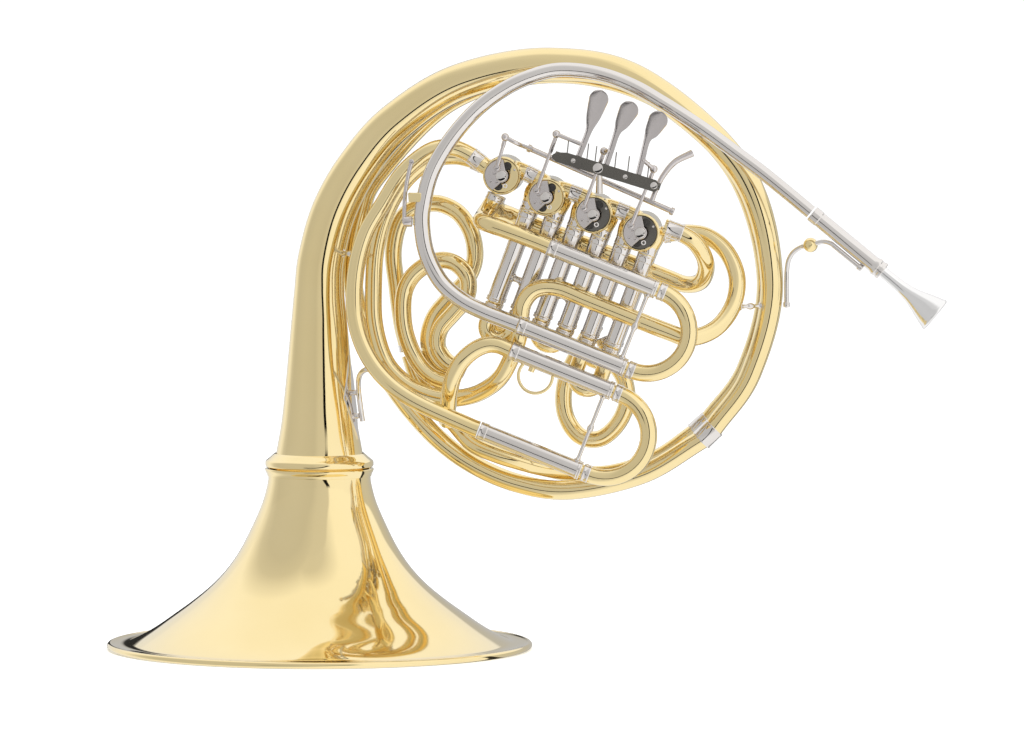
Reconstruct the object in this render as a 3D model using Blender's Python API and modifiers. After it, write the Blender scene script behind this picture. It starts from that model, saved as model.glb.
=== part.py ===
"""Double french horn, built as an assembly of separate pieces.

Layout: all numbers are millimetres in the coil frame. X runs from the bell to the
mouthpiece, Y runs from the player's hand side (front, negative) to the back, and Z is up.
The bell rim lies in the plane Z = 0 and its axis is the line X = 0, Y = 0.
"""
import math

import bmesh
import bpy
from mathutils import Matrix, Vector

MM = 0.001

# Bell
RIM_RADIUS = 155.0
BELL_WALL = 0.8
FLARE_TOP = 131.6
STEM_FOOT = 133.0
FLARE = [(0.0, 153.5), (3.0, 143.5), (8.0, 131.8), (15.0, 119.6), (25.0, 105.3), (35.0, 91.6), (46.0, 78.4),
         (58.0, 67.2), (72.0, 57.6), (88.0, 49.4), (106.0, 41.6), (119.0, 38.0), (125.0, 37.2),
         (FLARE_TOP, 37.2)]

# Main coil: a spiral about this centre, as (angle, coil radius, tube radius, depth)
COIL_X = 170.0
COIL_Z = 270.5
STEM = [(STEM_FOOT, 32.6), (143.0, 31.4), (164.0, 27.7), (186.0, 25.2), (210.0, 22.9), (235.0, 20.6),
        (260.0, 18.2)]
TAIL = [(175, 168.6, 17.2, 0), (163, 166.0, 16.5, 0), (150, 162.6, 15.5, 0), (135, 160.0, 14.5, 0),
        (115, 157.0, 13.3, 0), (90, 154.8, 12.2, 0), (65, 155.4, 11.0, 0), (30, 157.3, 9.6, 0),
        (0, 158.8, 8.3, 0), (-25, 159.4, 7.6, 0), (-43, 159.5, 7.2, 0)]
BRANCH = [(-47, 159.4, 7.1, 0), (-65, 156.6, 7.1, 0.5), (-85, 154.8, 7.1, 2), (-100, 151.8, 7.0, 3.5),
          (-115, 147.6, 7.0, 5), (-130, 143.4, 7.0, 7), (-148, 141.5, 7.0, 10), (-165, 143.5, 7.0, 12.5),
          (-180, 147.0, 7.0, 14.8), (-197, 148.0, 6.9, 17.3), (-210, 148.0, 6.8, 19),
          (-240, 147.6, 6.7, 19.5),
          (-270, 147.2, 6.6, 19.8), (-300, 149.0, 6.5, 19.2), (-330, 151.5, 6.4, 17.8),
          (-360, 153.5, 6.3, 17.0),
          (-385, 154.0, 6.3, 16.8), (-403, 153.0, 6.3, 16.8)]

# Slide tubing: every slide runs along SLOPE, drawn in the coil plane
SLOPE = math.radians(-21.7)
ALONG = Vector((math.cos(SLOPE), 0, math.sin(SLOPE)))
ACROSS = Vector((-math.sin(SLOPE), 0, math.cos(SLOPE)))
SLEEVE_RADIUS = 6.3
SLEEVE_WALL = 0.5
LEG_RADIUS = 5.1
CROOK_RADIUS = 6.2
TUBE_RADIUS = 6.2
TUBE_WALL = 0.6
FRONT_LAYER = -50.0
MAIN_SLIDE = {"centre": Vector((241.2, FRONT_LAYER, 235.1)), "bend": 30.35, "inner_end": -87.6,
              "mouth": -4.5}
FIRST_SLIDE = {"centre": Vector((211.5, FRONT_LAYER, 160.4)), "bend": 31.0, "inner_end": -86.0,
               "mouth": -7.0}

# Rotary valves, in order from the thumb (change) valve to the third valve
ROW = math.radians(-20.4)
ROW_ALONG = Vector((math.cos(ROW), 0, math.sin(ROW)))
ROW_ACROSS = Vector((-math.sin(ROW), 0, math.cos(ROW)))
VALVES = [(135.5, 346.0), (167.5, 330.7), (201.5, 318.3), (235.5, 305.4)]
CASING_RADIUS = 13.8
CASING_WALL = 1.2
CASING_FRONT = -34.0
CASING_BACK = 14.0
ROTOR_RADIUS = 12.3
FRONT_PORT = -19.0
BACK_PORT = 3.0
STOP_FACE = -37.2
DISC_RADIUS = 12.4
PIN_RADIUS = 8.2
PIN_ANGLE = math.radians(140)
THUMB_PIN_RADIUS = 6.8
THUMB_PIN_ANGLE = math.radians(115)
LINK_DEPTH = -45.0
PORT_SPREAD = 9.3

MATERIALS = {
    "lacquered_brass": ((0.83, 0.60, 0.24), 0.16, 1.0),
    "nickel_silver": ((0.78, 0.75, 0.71), 0.2, 1.0),
    "silver_plate": ((0.86, 0.85, 0.84), 0.12, 1.0),
    "steel": ((0.55, 0.53, 0.51), 0.3, 1.0),
}


def clear_scene():
    for obj in list(bpy.data.objects):
        bpy.data.objects.remove(obj, do_unlink=True)


def material(name):
    if name in bpy.data.materials:
        return bpy.data.materials[name]
    colour, roughness, metallic = MATERIALS[name]
    mat = bpy.data.materials.new(name)
    mat.use_nodes = True
    shader = mat.node_tree.nodes["Principled BSDF"]
    shader.inputs["Base Color"].default_value = (*colour, 1.0)
    shader.inputs["Roughness"].default_value = roughness
    shader.inputs["Metallic"].default_value = metallic
    return mat


def add_object(name, data, finish, parent):
    obj = bpy.data.objects.new(name, data)
    PARTS.objects.link(obj)
    data.materials.append(material(finish))
    obj.parent = parent
    return obj


def smooth_route(points, turn=math.radians(20), longest=70.0):
    """Points (x, y, z, radius) along a Catmull-Rom curve, closer together where it bends."""
    ends = [points[0].lerp(points[1], -1.0)] + points + [points[-1].lerp(points[-2], -1.0)]
    fine = []
    for a, b, c, d in zip(ends, ends[1:], ends[2:], ends[3:]):
        for step in range(10):
            t = step / 10
            fine.append(0.5 * (2 * b + (c - a) * t + (2 * a - 5 * b + 4 * c - d) * t * t
                               + (3 * b - a - 3 * c + d) * t * t * t))
    fine.append(points[-1])
    route = [fine[0]]
    turned = 0.0
    for before, here, after in zip(fine, fine[1:], fine[2:]):
        turned += (here - before).xyz.angle((after - here).xyz, 0.0)
        if turned > turn or (here - route[-1]).xyz.length > longest:
            route.append(here)
            turned = 0.0
    if (fine[-1] - route[-1]).xyz.length < 6.0 and len(route) > 2:
        route.pop()
    route.append(fine[-1])
    return route


def tube_curve(name, routes, wall, finish, parent, resolution=2):
    """Tubes along routes of (x, y, z, radius) points, open at the ends, or solid where wall is 0."""
    curve = bpy.data.curves.new(name, "CURVE")
    curve.dimensions = "3D"
    curve.bevel_depth = MM
    curve.bevel_resolution = resolution
    curve.use_fill_caps = wall == 0
    for route in routes:
        spline = curve.splines.new("POLY")
        spline.points.add(len(route) - 1)
        for point, place in zip(spline.points, route):
            point.co = (place.x * MM, place.y * MM, place.z * MM, 1.0)
            point.radius = place.w
    obj = add_object(name, curve, finish, parent)
    if wall:
        shell = obj.modifiers.new("wall", "SOLIDIFY")
        shell.thickness = wall * MM
        shell.offset = -1.0
    return obj


def as_mesh(obj):
    """The evaluated mesh of a curve object, welded, in the frame of the horn."""
    bpy.context.view_layer.update()
    seen = obj.evaluated_get(bpy.context.evaluated_depsgraph_get())
    mesh = bpy.data.meshes.new_from_object(seen)
    mesh.transform(obj.matrix_world)
    weld = bmesh.new()
    weld.from_mesh(mesh)
    bmesh.ops.remove_doubles(weld, verts=weld.verts[:], dist=0.000001)
    weld.to_mesh(mesh)
    weld.free()
    finish = obj.data.materials[0].name
    name = obj.name
    bpy.data.objects.remove(obj, do_unlink=True)
    return name, mesh, finish


def joined(name, pieces):
    """One solid made of several pieces by Boolean unions; the first piece gives the material."""
    meshes = [as_mesh(piece) for piece in pieces]
    whole = add_object(name, meshes[0][1], meshes[0][2], HORN)
    whole.data.materials.clear()
    whole.data.materials.append(material(meshes[0][2]))
    for index, (tool_name, mesh, _) in enumerate(meshes[1:]):
        tool = bpy.data.objects.new(f"{name}_tool_{index}", mesh)
        TOOLS.objects.link(tool)
        tool.parent = HORN
        tool.hide_render = True
        tool.display_type = "WIRE"
        union = whole.modifiers.new(f"join_{index}", "BOOLEAN")
        union.operation = "UNION"
        union.object = tool
    return whole


def bent_tube(name, points, finish, parent, wall=TUBE_WALL, resolution=2):
    return tube_curve(name, [smooth_route(points)], wall, finish, parent, resolution)


def straight_tube(start, end, radius):
    return [Vector((*start, radius)), Vector((*end, radius))]


def turned(name, profile, finish, parent, place=(0, 0, 0), axis=(0, 0, 1), steps=16, more_places=()):
    """A turned piece from a profile of (radius, height) points that runs down its outer side."""
    mesh = bpy.data.meshes.new(name)
    build = bmesh.new()
    closed = profile[0][0] > 0 and profile[-1][0] > 0
    for centre in (place, *more_places):
        turn = Vector((0, 0, 1)).rotation_difference(Vector(axis)).to_matrix().to_4x4()
        where = Matrix.Translation(Vector(centre) * MM) @ turn
        shape = bmesh.new()
        verts = [shape.verts.new((r * MM, 0, h * MM)) for r, h in profile]
        for a, b in zip(verts, verts[1:]):
            shape.edges.new((a, b))
        if closed:
            shape.edges.new((verts[-1], verts[0]))
        bmesh.ops.spin(shape, geom=shape.verts[:] + shape.edges[:], cent=(0, 0, 0), axis=(0, 0, 1),
                       angle=math.tau, steps=steps, use_merge=True, use_normal_flip=False)
        bmesh.ops.remove_doubles(shape, verts=shape.verts[:], dist=0.00001)
        bmesh.ops.recalc_face_normals(shape, faces=shape.faces[:])
        bmesh.ops.transform(shape, matrix=where, verts=shape.verts[:])
        part = bpy.data.meshes.new("one")
        shape.to_mesh(part)
        shape.free()
        build.from_mesh(part)
        bpy.data.meshes.remove(part)
    build.to_mesh(mesh)
    build.free()
    return add_object(name, mesh, finish, parent)


def flat_plate(name, outlines, thickness, finish, parent, axes):
    """A flat piece: outlines of (a, b) points in the plane of two axes at a place, with holes."""
    place, first, second = axes
    curve = bpy.data.curves.new(name, "CURVE")
    curve.dimensions = "2D"
    curve.fill_mode = "BOTH"
    curve.extrude = thickness / 2 * MM
    for outline in outlines:
        spline = curve.splines.new("POLY")
        spline.points.add(len(outline) - 1)
        spline.use_cyclic_u = True
        for point, (a, b) in zip(spline.points, outline):
            point.co = (a * MM, b * MM, 0, 1)
    obj = add_object(name, curve, finish, parent)
    turn = Matrix((first, second, first.cross(second))).transposed().to_4x4()
    obj.matrix_local = Matrix.Translation(Vector(place) * MM) @ turn
    return obj


def arc(radius, start, stop, count, centre=(0, 0)):
    return [(centre[0] + radius * math.cos(start + (stop - start) * i / count),
             centre[1] + radius * math.sin(start + (stop - start) * i / count)) for i in range(count + 1)]


def coil_point(angle, coil_radius, tube_radius, depth):
    a = math.radians(angle)
    return Vector((COIL_X + coil_radius * math.cos(a), depth, COIL_Z + coil_radius * math.sin(a),
                   tube_radius))


def ring_profile(outer, inner, top, bottom):
    return [(outer, top), (outer, bottom), (inner, bottom), (inner, top)]


clear_scene()
PARTS = bpy.data.collections.new("french_horn")
bpy.context.scene.collection.children.link(PARTS)
TOOLS = bpy.data.collections.new("french_horn_tools")
bpy.context.scene.collection.children.link(TOOLS)
HORN = bpy.data.objects.new("horn_frame", None)
PARTS.objects.link(HORN)


def build_bell():
    outer = [(r, h) for h, r in reversed(FLARE)]
    rim = [(154.4, 0.0), (155.0, 0.9), (155.0, 2.0), (154.0, 2.9)]
    inner = [(r - BELL_WALL * 1.2, h - BELL_WALL * 0.5) for h, r in FLARE[1:]]
    profile = outer[:-1] + rim[::-1] + [(151.2, 0.0), (150.4, 1.2)] + inner[:-1] + [(36.0, FLARE_TOP)]
    turned("bell_flare", profile, "lacquered_brass", HORN, steps=28)
    turned("bell_nut_ring", ring_profile(39.6, 37.6, 131.4, 126.0),
           "lacquered_brass", HORN, steps=24)
    points = [Vector((0, 0, z, r)) for z, r in STEM] + [coil_point(*s) for s in TAIL]
    bent_tube("bell_tail", points, "lacquered_brass", HORN, wall=BELL_WALL, resolution=4)
    turned("bell_screw_ring", ring_profile(39.0, 33.4, 141.0, 132.4), "lacquered_brass", HORN, steps=24)


def slide_route(slide):
    """Centre line of a crook: two legs inside the sleeves and the half-round bow."""
    centre = slide["centre"]
    start = slide["inner_end"] + 6.0
    mouth = slide["mouth"] + 1.0
    side = slide.get("across", ACROSS) * slide["bend"]
    along = slide.get("along", ALONG)
    leg = slide.get("leg", LEG_RADIUS)
    bow = slide.get("bow", CROOK_RADIUS)
    route = [Vector((*(centre + side + along * start), leg)),
             Vector((*(centre + side + along * mouth), leg)),
             Vector((*(centre + side + along * (mouth + 0.8)), bow))]
    count = 8
    for i in range(count + 1):
        angle = math.pi / 2 - math.pi * i / count
        place = centre + side * math.sin(angle) + along * slide["bend"] * math.cos(angle)
        route.append(Vector((*place, bow)))
    route += [Vector((*(centre - side + along * (mouth + 0.8)), bow)),
              Vector((*(centre - side + along * mouth), leg)),
              Vector((*(centre - side + along * start), leg))]
    return route


def sleeve_routes(slide):
    routes = []
    for sign in (1, -1):
        side = slide.get("across", ACROSS) * slide["bend"] * sign
        along = slide.get("along", ALONG)
        inner = slide["centre"] + side + along * slide["inner_end"]
        mouth = slide["centre"] + side + along * slide["mouth"]
        routes.append(straight_tube(inner, mouth, slide.get("sleeve", SLEEVE_RADIUS)))
    return routes


def rod_between(name, start, end, radius, finish):
    return tube_curve(name, [straight_tube(start, end, radius)], 0, finish, HORN, 1)


def braced_sleeves(name, slides, station):
    """The outer tubes of one or more slides, held together by cross braces."""
    pieces = []
    for number, slide in enumerate(slides):
        for side, route in enumerate(sleeve_routes(slide)):
            pieces.append(tube_curve(f"{name}_{number}_{side}", [route], SLEEVE_WALL, "nickel_silver", HORN))
        middle = slide["centre"] + slide.get("along", ALONG) * (slide["mouth"] - station)
        reach = slide.get("across", ACROSS) * (slide["bend"] - slide.get("sleeve", SLEEVE_RADIUS) + 0.65)
        pieces.append(rod_between(f"{name}_brace_{number}", middle - reach, middle + reach, 1.8,
                                  "nickel_silver"))
    if len(slides) == 2:
        ends = [s["centre"] + s["across"] * s["bend"] + s["along"] * (s["mouth"] - station) for s in slides]
        step = (ends[1] - ends[0]).normalized() * (slides[0]["sleeve"] - 0.65)
        pieces.append(rod_between(f"{name}_brace_depth", ends[0] + step, ends[1] - step, 1.8,
                                  "nickel_silver"))
    return joined(name, pieces)


def build_slides():
    for name, slide in (("main_tuning_slide", MAIN_SLIDE), ("first_tuning_slide", FIRST_SLIDE)):
        tube_curve(name, [slide_route(slide)], TUBE_WALL, "lacquered_brass", HORN)
        braced_sleeves(f"{name}_sleeves", [slide], 5.0)


def valve_centre(index, depth=0.0):
    x, z = VALVES[index]
    return Vector((x, depth, z))


VALVE_SLIDES = {
    "valve_slide_1_front": {"valve": 1, "depth": FRONT_PORT, "end": 101.0},
    "valve_slide_2_front": {"valve": 2, "depth": FRONT_PORT, "end": 92.0},
    "valve_slide_3_front": {"valve": 3, "depth": FRONT_PORT, "end": 112.0},
    "valve_slide_1_back": {"valve": 1, "depth": BACK_PORT, "end": 92.0},
    "valve_slide_2_back": {"valve": 2, "depth": BACK_PORT, "end": 90.0},
    "valve_slide_3_back": {"valve": 3, "depth": BACK_PORT, "end": 92.0},
}
VALVE_SLEEVE_START = 14.5
VALVE_SLEEVE_END = 85.0


def valve_slide(entry):
    down = -ROW_ACROSS
    centre = valve_centre(entry["valve"], entry["depth"]) + down * entry["end"]
    return {"centre": centre, "bend": PORT_SPREAD, "inner_end": VALVE_SLEEVE_START - entry["end"],
            "mouth": VALVE_SLEEVE_END - entry["end"], "along": down, "across": ROW_ALONG,
            "leg": 4.95, "bow": 5.8, "sleeve": 6.1}


def build_valve_slides():
    for name, entry in VALVE_SLIDES.items():
        tube_curve(name, [slide_route(valve_slide(entry))], TUBE_WALL, "lacquered_brass", HORN)
    for number in (1, 2, 3):
        pair = [valve_slide(VALVE_SLIDES[f"valve_slide_{number}_{level}"]) for level in ("front", "back")]
        braced_sleeves(f"valve_slide_{number}_sleeves", pair, 20.0)


def build_valves():
    """Casing with its closed back, and the rotor with its stem, of every rotary valve."""
    for index in range(4):
        centre = valve_centre(index)
        facing = (0, 1, 0)
        tag = ("change", "first", "second", "third")[index]
        turned(f"{tag}_valve_casing", [(2.6, CASING_BACK - 1.6), (CASING_RADIUS, CASING_BACK - 1.6),
                                       (CASING_RADIUS, CASING_FRONT),
                                       (CASING_RADIUS - CASING_WALL, CASING_FRONT),
                                       (CASING_RADIUS - CASING_WALL, CASING_BACK - 3.2),
                                       (2.6, CASING_BACK - 3.2)],
               "lacquered_brass", HORN, centre, facing, steps=16)
        turned(f"{tag}_valve_rotor", [(0, CASING_BACK - 4.6), (ROTOR_RADIUS - 0.2, CASING_BACK - 4.6),
                                      (ROTOR_RADIUS - 0.2, CASING_FRONT + 3.4), (3.0, CASING_FRONT + 3.4),
                                      (3.0, STOP_FACE - 3.4), (0, STOP_FACE - 3.4)],
               "nickel_silver", HORN, centre, facing, steps=14)


def link_plan(index):
    """Pin angle, pin radius and far ball place of a valve's link rod, in the coil plane."""
    if index == 0:
        return THUMB_PIN_ANGLE, THUMB_PIN_RADIUS, Vector((139.0, LINK_DEPTH, 374.4))
    return PIN_ANGLE, PIN_RADIUS, (None, KEY_BALLS[0], KEY_BALLS[1], KEY_BALLS[2])[index]


KEY_BALLS = [Vector((176.0, LINK_DEPTH, 376.8)), Vector((210.2, LINK_DEPTH, 364.6)),
             Vector((246.0, LINK_DEPTH, 351.8))]


def build_linkage():
    for index in range(4):
        tag = ("change", "first", "second", "third")[index]
        pin_angle, pin_radius, ball = link_plan(index)
        centre = valve_centre(index, STOP_FACE - 1.6)
        arm = (arc(DISC_RADIUS - 1.0, pin_angle - 0.9, pin_angle + 0.9, 7)
               + arc(4.6, pin_angle + 1.6, pin_angle + 4.68, 6))
        hole = arc(3.2, 0, math.tau, 12)[:-1]
        flat_plate(f"{tag}_stop_arm", [arm, hole], 2.2, "nickel_silver", HORN,
                   (centre, Vector((1, 0, 0)), Vector((0, 0, 1))))
        pin = valve_centre(index,
                           LINK_DEPTH) + Vector((math.cos(pin_angle), 0, math.sin(pin_angle))) * pin_radius
        far = Vector((ball.x, LINK_DEPTH, ball.z))
        reach = (far - pin).length
        first = (far - pin).normalized()
        second = first.cross(Vector((0, 1, 0)))
        rod = arc(2.3, 0.5, math.tau - 0.5, 8) + arc(2.3, math.pi + 0.5, 3 * math.pi - 0.5, 8, (reach, 0))
        flat_plate(f"{tag}_link_rod", [rod], 2.6, "nickel_silver", HORN, (pin, first, -second))


# Routes of the fixed tubing: (x, depth, z) points on each centre line
CHANGE_LOOP = [(122.4, -19, 352.0), (112, -19, 360.0), (98.5, -20, 365.3), (82.5, -22, 363),
               (63.5, -25, 347.5), (49, -28, 325), (36.5, -31, 303), (29.8, -35, 276), (29.5, -39, 246),
               (37, -44, 221), (52, -48, 200), (74, -50, 184)]
SECOND_LOOP = [(122.4, 3, 350.5), (111, 3, 356), (97, 3, 358.5), (80, 2, 355), (62, 0, 340), (49, -2, 317),
               (42, -4, 292), (40, -5, 262), (41, -6, 236), (48, -7, 212), (60, -8, 197), (76, -9, 187.5),
               (94, -11, 183.5), (111, -15, 185.5), (124, -21.5, 191.5), (134.5, -28.5, 200.5),
               (142, -32.5, 214), (147, -34, 227), (148.5, -34.5, 238)]
INNER_RIGHT = [(251.9, -19, 308.6), (262, -19, 305), (273, -18, 298.5), (280, -12, 288), (281.5, -3, 277.5),
               (277, 7, 268), (266, 14, 265.5), (250, 16.6, 271), (200, 16.6, 291), (150, 16.4, 310.4),
               (137, 12, 316), (130, 6, 319.5), (127.8, 3, 325), (129.8, 3, 330.6)]
OUTER_RIGHT = [(250.2, 3, 302.3), (262, 3, 303.5), (281, 2, 301.5), (296, 0, 290), (304, -5, 271),
               (301, -14, 251),
               (289, -25, 235.5), (271, -33.5, 229.5), (254, -34.5, 234.4), (200, -34.5, 255.6),
               (176, -34.5, 265),
               (160, -34.5, 264), (151, -34.5, 254), (148.7, -34.5, 240)]
UPPER_CURL = [(63.2, 20, 216.5), (58.5, 20, 236), (55, 20, 262), (52.5, 20, 290), (60, 20, 314),
              (80, 20, 323.5),
              (98, 20, 318), (109, 20, 303), (112, 20, 284), (106, 20, 268), (94, 20, 255), (82, 20, 240),
              (78, 20, 222), (85, 19, 206), (101, 18, 199)]
LOWER_CURL = [(100, 4, 192), (82, 4, 198), (70, 5, 211), (62, 5, 232), (61, 5, 255), (66, 5, 269),
              (77, 5, 279),
              (90, 5, 283), (101, 5, 279), (108, 5, 269), (107, 5, 256), (98, 5, 245), (88, 5, 233),
              (86, 4, 220), (93, 4, 209), (106, 4, 203)]
CROSSOVER_END = [(141, -50, 307), (128, -48.5, 311.5), (121.5, -42, 313.5), (121.5, -33, 315.5),
                 (124.5, -23, 321),
                 (128, -19.3, 327), (130.2, -19, 331.6)]
FIRST_RETURN_END = [(125.5, -50, 224.8), (116, -49.5, 220.5), (107, -48, 212), (101, -44.5, 201),
                    (98, -39, 190), (96.5, -32, 180.5), (95.2, -26, 173.5), (95, -19, 167)]
INNER_BRANCH = [(-407.5, 152.4, 6.2, 16.6), (-420, 151.5, 6.2, 16.6), (-433, 149, 6.2, 16.0),
                (-444, 144, 6.2, 13.0)]
INNER_BRANCH_END = [(162.8, 3, 132.2), (146, -3, 137), (129, -5, 142.5), (112, -3, 150), (97, 4, 165),
                    (82, 14, 178), (70, 19, 197), (64.3, 20, 213)]
LOWER_LOOP = [(200, 16.6, 236), (187.5, 16.6, 215), (178, 16.6, 193), (178, 16.6, 171), (188, 16.6, 155),
              (203, 16.6, 152.5), (216, 16.6, 163), (223, 16.6, 179), (221, 16.6, 196), (212, 16.6, 211),
              (206, 16.6, 226)]
LEADPIPE = [(357.9, -26, 320.0, 4.9), (340, -26, 334.8, 4.9), (322, -26, 349.2, 5.0), (302, -26, 364, 5.0),
            (282, -26, 378.6, 5.1), (262, -26, 391.8, 5.1), (250, -26.5, 399.2, 5.1), (232, -27, 409.5, 5.2),
            (212, -27.5, 417.5, 5.2), (192, -28.5, 421.6, 5.3), (172.5, -30, 421.8, 5.3),
            (154, -32, 416.6, 5.4),
            (137.5, -34, 408.6, 5.5), (121, -37, 396.8, 5.6), (106.5, -41, 381.8, 5.6),
            (94.5, -45, 365.3, 5.7),
            (85.5, -48, 348, 5.7), (80.5, -50, 329, 5.8), (79, -50, 311, 5.9), (82.5, -50, 290, 5.9),
            (92.5, -50, 270.5, 6.0), (107.5, -50, 257, 6.1), (124, -50, 248.6, 6.1), (138, -50, 243.2, 6.1)]

# Mouthpiece end of the leadpipe
RECEIVER_END = Vector((409.8, -26.0, 277.3))
RECEIVER_AXIS = Vector((51.0, 0, -42.0)).normalized()
RECEIVER_LENGTH = 66.0
MOUTHPIECE = [(13.0, 48.4), (12.8, 46.4), (11.4, 42.5), (8.4, 34.0), (5.6, 25.0), (4.3, 16.0), (4.0, 6.0),
              (3.8, -18.0), (2.3, -18.0), (2.2, 22.0), (4.4, 31.0), (7.2, 40.0), (8.8, 46.0), (9.8, 48.6),
              (11.4, 49.6)]

# Keys: the axle line, then hub, tail, widest place and tip of each finger lever
AXLE = (Vector((177.0, -58.0, 360.6)), Vector((246.0, -58.0, 339.5)))
KEY_HUBS = [0.20, 0.49, 0.83]
KEY_TAILS = [(200.0, 380.0), (220.0, 378.0), (241.5, 372.5)]
KEY_TIPS = [(207.0, 402.0), (228.5, 394.0), (249.5, 387.0)]
KEY_PLATE_DEPTH = -61.4
BALL_DEPTH = -53.4
THUMB_AXLE = (Vector((155.0, -28.0, 365.5)), Vector((258.0, -28.0, 320.4)))


def routed(points, radius=TUBE_RADIUS):
    return [Vector((*p[:3], p[3] if len(p) == 4 else radius)) for p in points]


def sleeve_end(slide, sign, gap=0.8):
    end = slide["centre"] + ACROSS * slide["bend"] * sign + ALONG * (slide["inner_end"] - gap)
    return [Vector((*(end - ALONG * back), TUBE_RADIUS)) for back in (0.0, 9.0)]


def build_tubing():
    brass = "lacquered_brass"
    bent_tube("first_branch", [coil_point(*s) for s in BRANCH], brass, HORN, wall=0.6, resolution=3)
    inner = [coil_point(*s) for s in INNER_BRANCH]
    bent_tube("inner_branch", inner + routed(INNER_BRANCH_END), brass, HORN)
    for name, before, after in (("tail_ferrule", TAIL[-1], BRANCH[0]),
                                ("branch_ferrule", BRANCH[-1], INNER_BRANCH[0])):
        start, end = coil_point(*before), coil_point(*after)
        middle = (start + end).xyz / 2
        axis = (end - start).xyz.normalized()
        radius = before[2] + 0.7
        turned(name, ring_profile(radius + 0.5, radius, 7.0, -7.0), "nickel_silver", HORN, middle, axis,
               steps=14)
    bent_tube("change_loop", routed(CHANGE_LOOP) + sleeve_end(FIRST_SLIDE, -1)[::-1], brass, HORN)
    bent_tube("second_loop", routed(SECOND_LOOP), brass, HORN)
    bent_tube("right_loop_inner", routed(INNER_RIGHT), brass, HORN)
    bent_tube("right_loop_outer", routed(OUTER_RIGHT), brass, HORN)
    bent_tube("upper_curl", routed(UPPER_CURL), brass, HORN)
    bent_tube("lower_curl", routed(LOWER_CURL), brass, HORN)
    bent_tube("lower_loop", routed(LOWER_LOOP), brass, HORN)
    bent_tube("crossover", sleeve_end(MAIN_SLIDE, 1) + routed(CROSSOVER_END), brass, HORN)
    bent_tube("first_return", sleeve_end(FIRST_SLIDE, 1) + routed(FIRST_RETURN_END), brass, HORN)
    for index, tag in enumerate(("first", "second", "third"), 1):
        left, right = valve_centre(index - 1, FRONT_PORT), valve_centre(index, FRONT_PORT)
        along = (right - left).normalized()
        lift = Vector((-along.z, 0, along.x)) * 7.5
        turned(f"{tag}_valve_passage", ring_profile(5.6, 4.8, (right - left).length - 28.6, 0),
               "nickel_silver", HORN, left + along * 14.3 + lift, along, steps=12)


def build_leadpipe():
    end = sleeve_end(MAIN_SLIDE, -1)
    bent_tube("leadpipe", routed(LEADPIPE) + end[:1], "nickel_silver", HORN, wall=0.6)
    turned("mouthpiece_receiver",
           [(5.4, -RECEIVER_LENGTH), (4.5, -RECEIVER_LENGTH), (4.5, 0), (6.4, 0), (6.4, -7),
                                   (5.7, -7.2)], "nickel_silver", HORN, RECEIVER_END, RECEIVER_AXIS,
                                   steps=12)
    turned("mouthpiece", MOUTHPIECE, "silver_plate", HORN, RECEIVER_END, RECEIVER_AXIS, steps=16)


def ball(name, place, radius, finish):
    points = arc(radius, math.pi / 2, -math.pi / 2, 4)
    return turned(name, [(max(r, 0), h) for r, h in points], finish, HORN, place, (0, 0, 1), steps=8)


def key_lever(number):
    """A finger lever: hub tube on the axle, flat arm and touch plate, cross rod and ball."""
    name = f"finger_lever_{number + 1}"
    finish = "nickel_silver"
    hub = AXLE[0].lerp(AXLE[1], KEY_HUBS[number])
    along = (AXLE[1] - AXLE[0]).normalized()
    tail_x, tail_z = KEY_TAILS[number]
    tip_x, tip_z = KEY_TIPS[number]
    arm = Vector((tail_x - hub.x, 0, tail_z - hub.z))
    aim = Vector((tip_x - tail_x, 0, tip_z - tail_z))
    side_arm = Vector((arm.z, 0, -arm.x)).normalized() * 2.2
    side_tip = Vector((aim.z, 0, -aim.x)).normalized()
    foot = Vector((hub.x, 0, hub.z)) - arm.normalized() * 1.5
    tail = Vector((tail_x, 0, tail_z))
    tip = Vector((tip_x, 0, tip_z))
    turn = math.atan2(aim.z, aim.x)
    touch = [tip + Vector((a, 0, b)) for a, b in arc(7.0, turn - 1.9, turn + 1.9, 8)]
    outline = [foot + side_arm, tail + side_tip * 2.6] + touch + [tail - side_tip * 2.6, foot - side_arm]
    plate = flat_plate(name + "_plate", [[(p.x, p.z) for p in outline]], 2.0, finish, HORN,
                       (Vector((0, KEY_PLATE_DEPTH, 0)), Vector((1, 0, 0)), Vector((0, 0, 1))))
    sleeve = turned(name + "_hub", ring_profile(3.6, 2.1, 4.0, -4.0), finish, HORN, hub, along, steps=12)
    knob = KEY_BALLS[number].copy()
    knob.y = BALL_DEPTH
    root_place = Vector((hub.x, 0, hub.z)) + arm * 0.55
    root_place.y = KEY_PLATE_DEPTH
    rod = rod_between(name + "_rod", root_place, knob, 1.5, finish)
    return joined(name, [plate, sleeve, rod, ball(name + "_ball", knob, 2.7, finish)])


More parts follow.
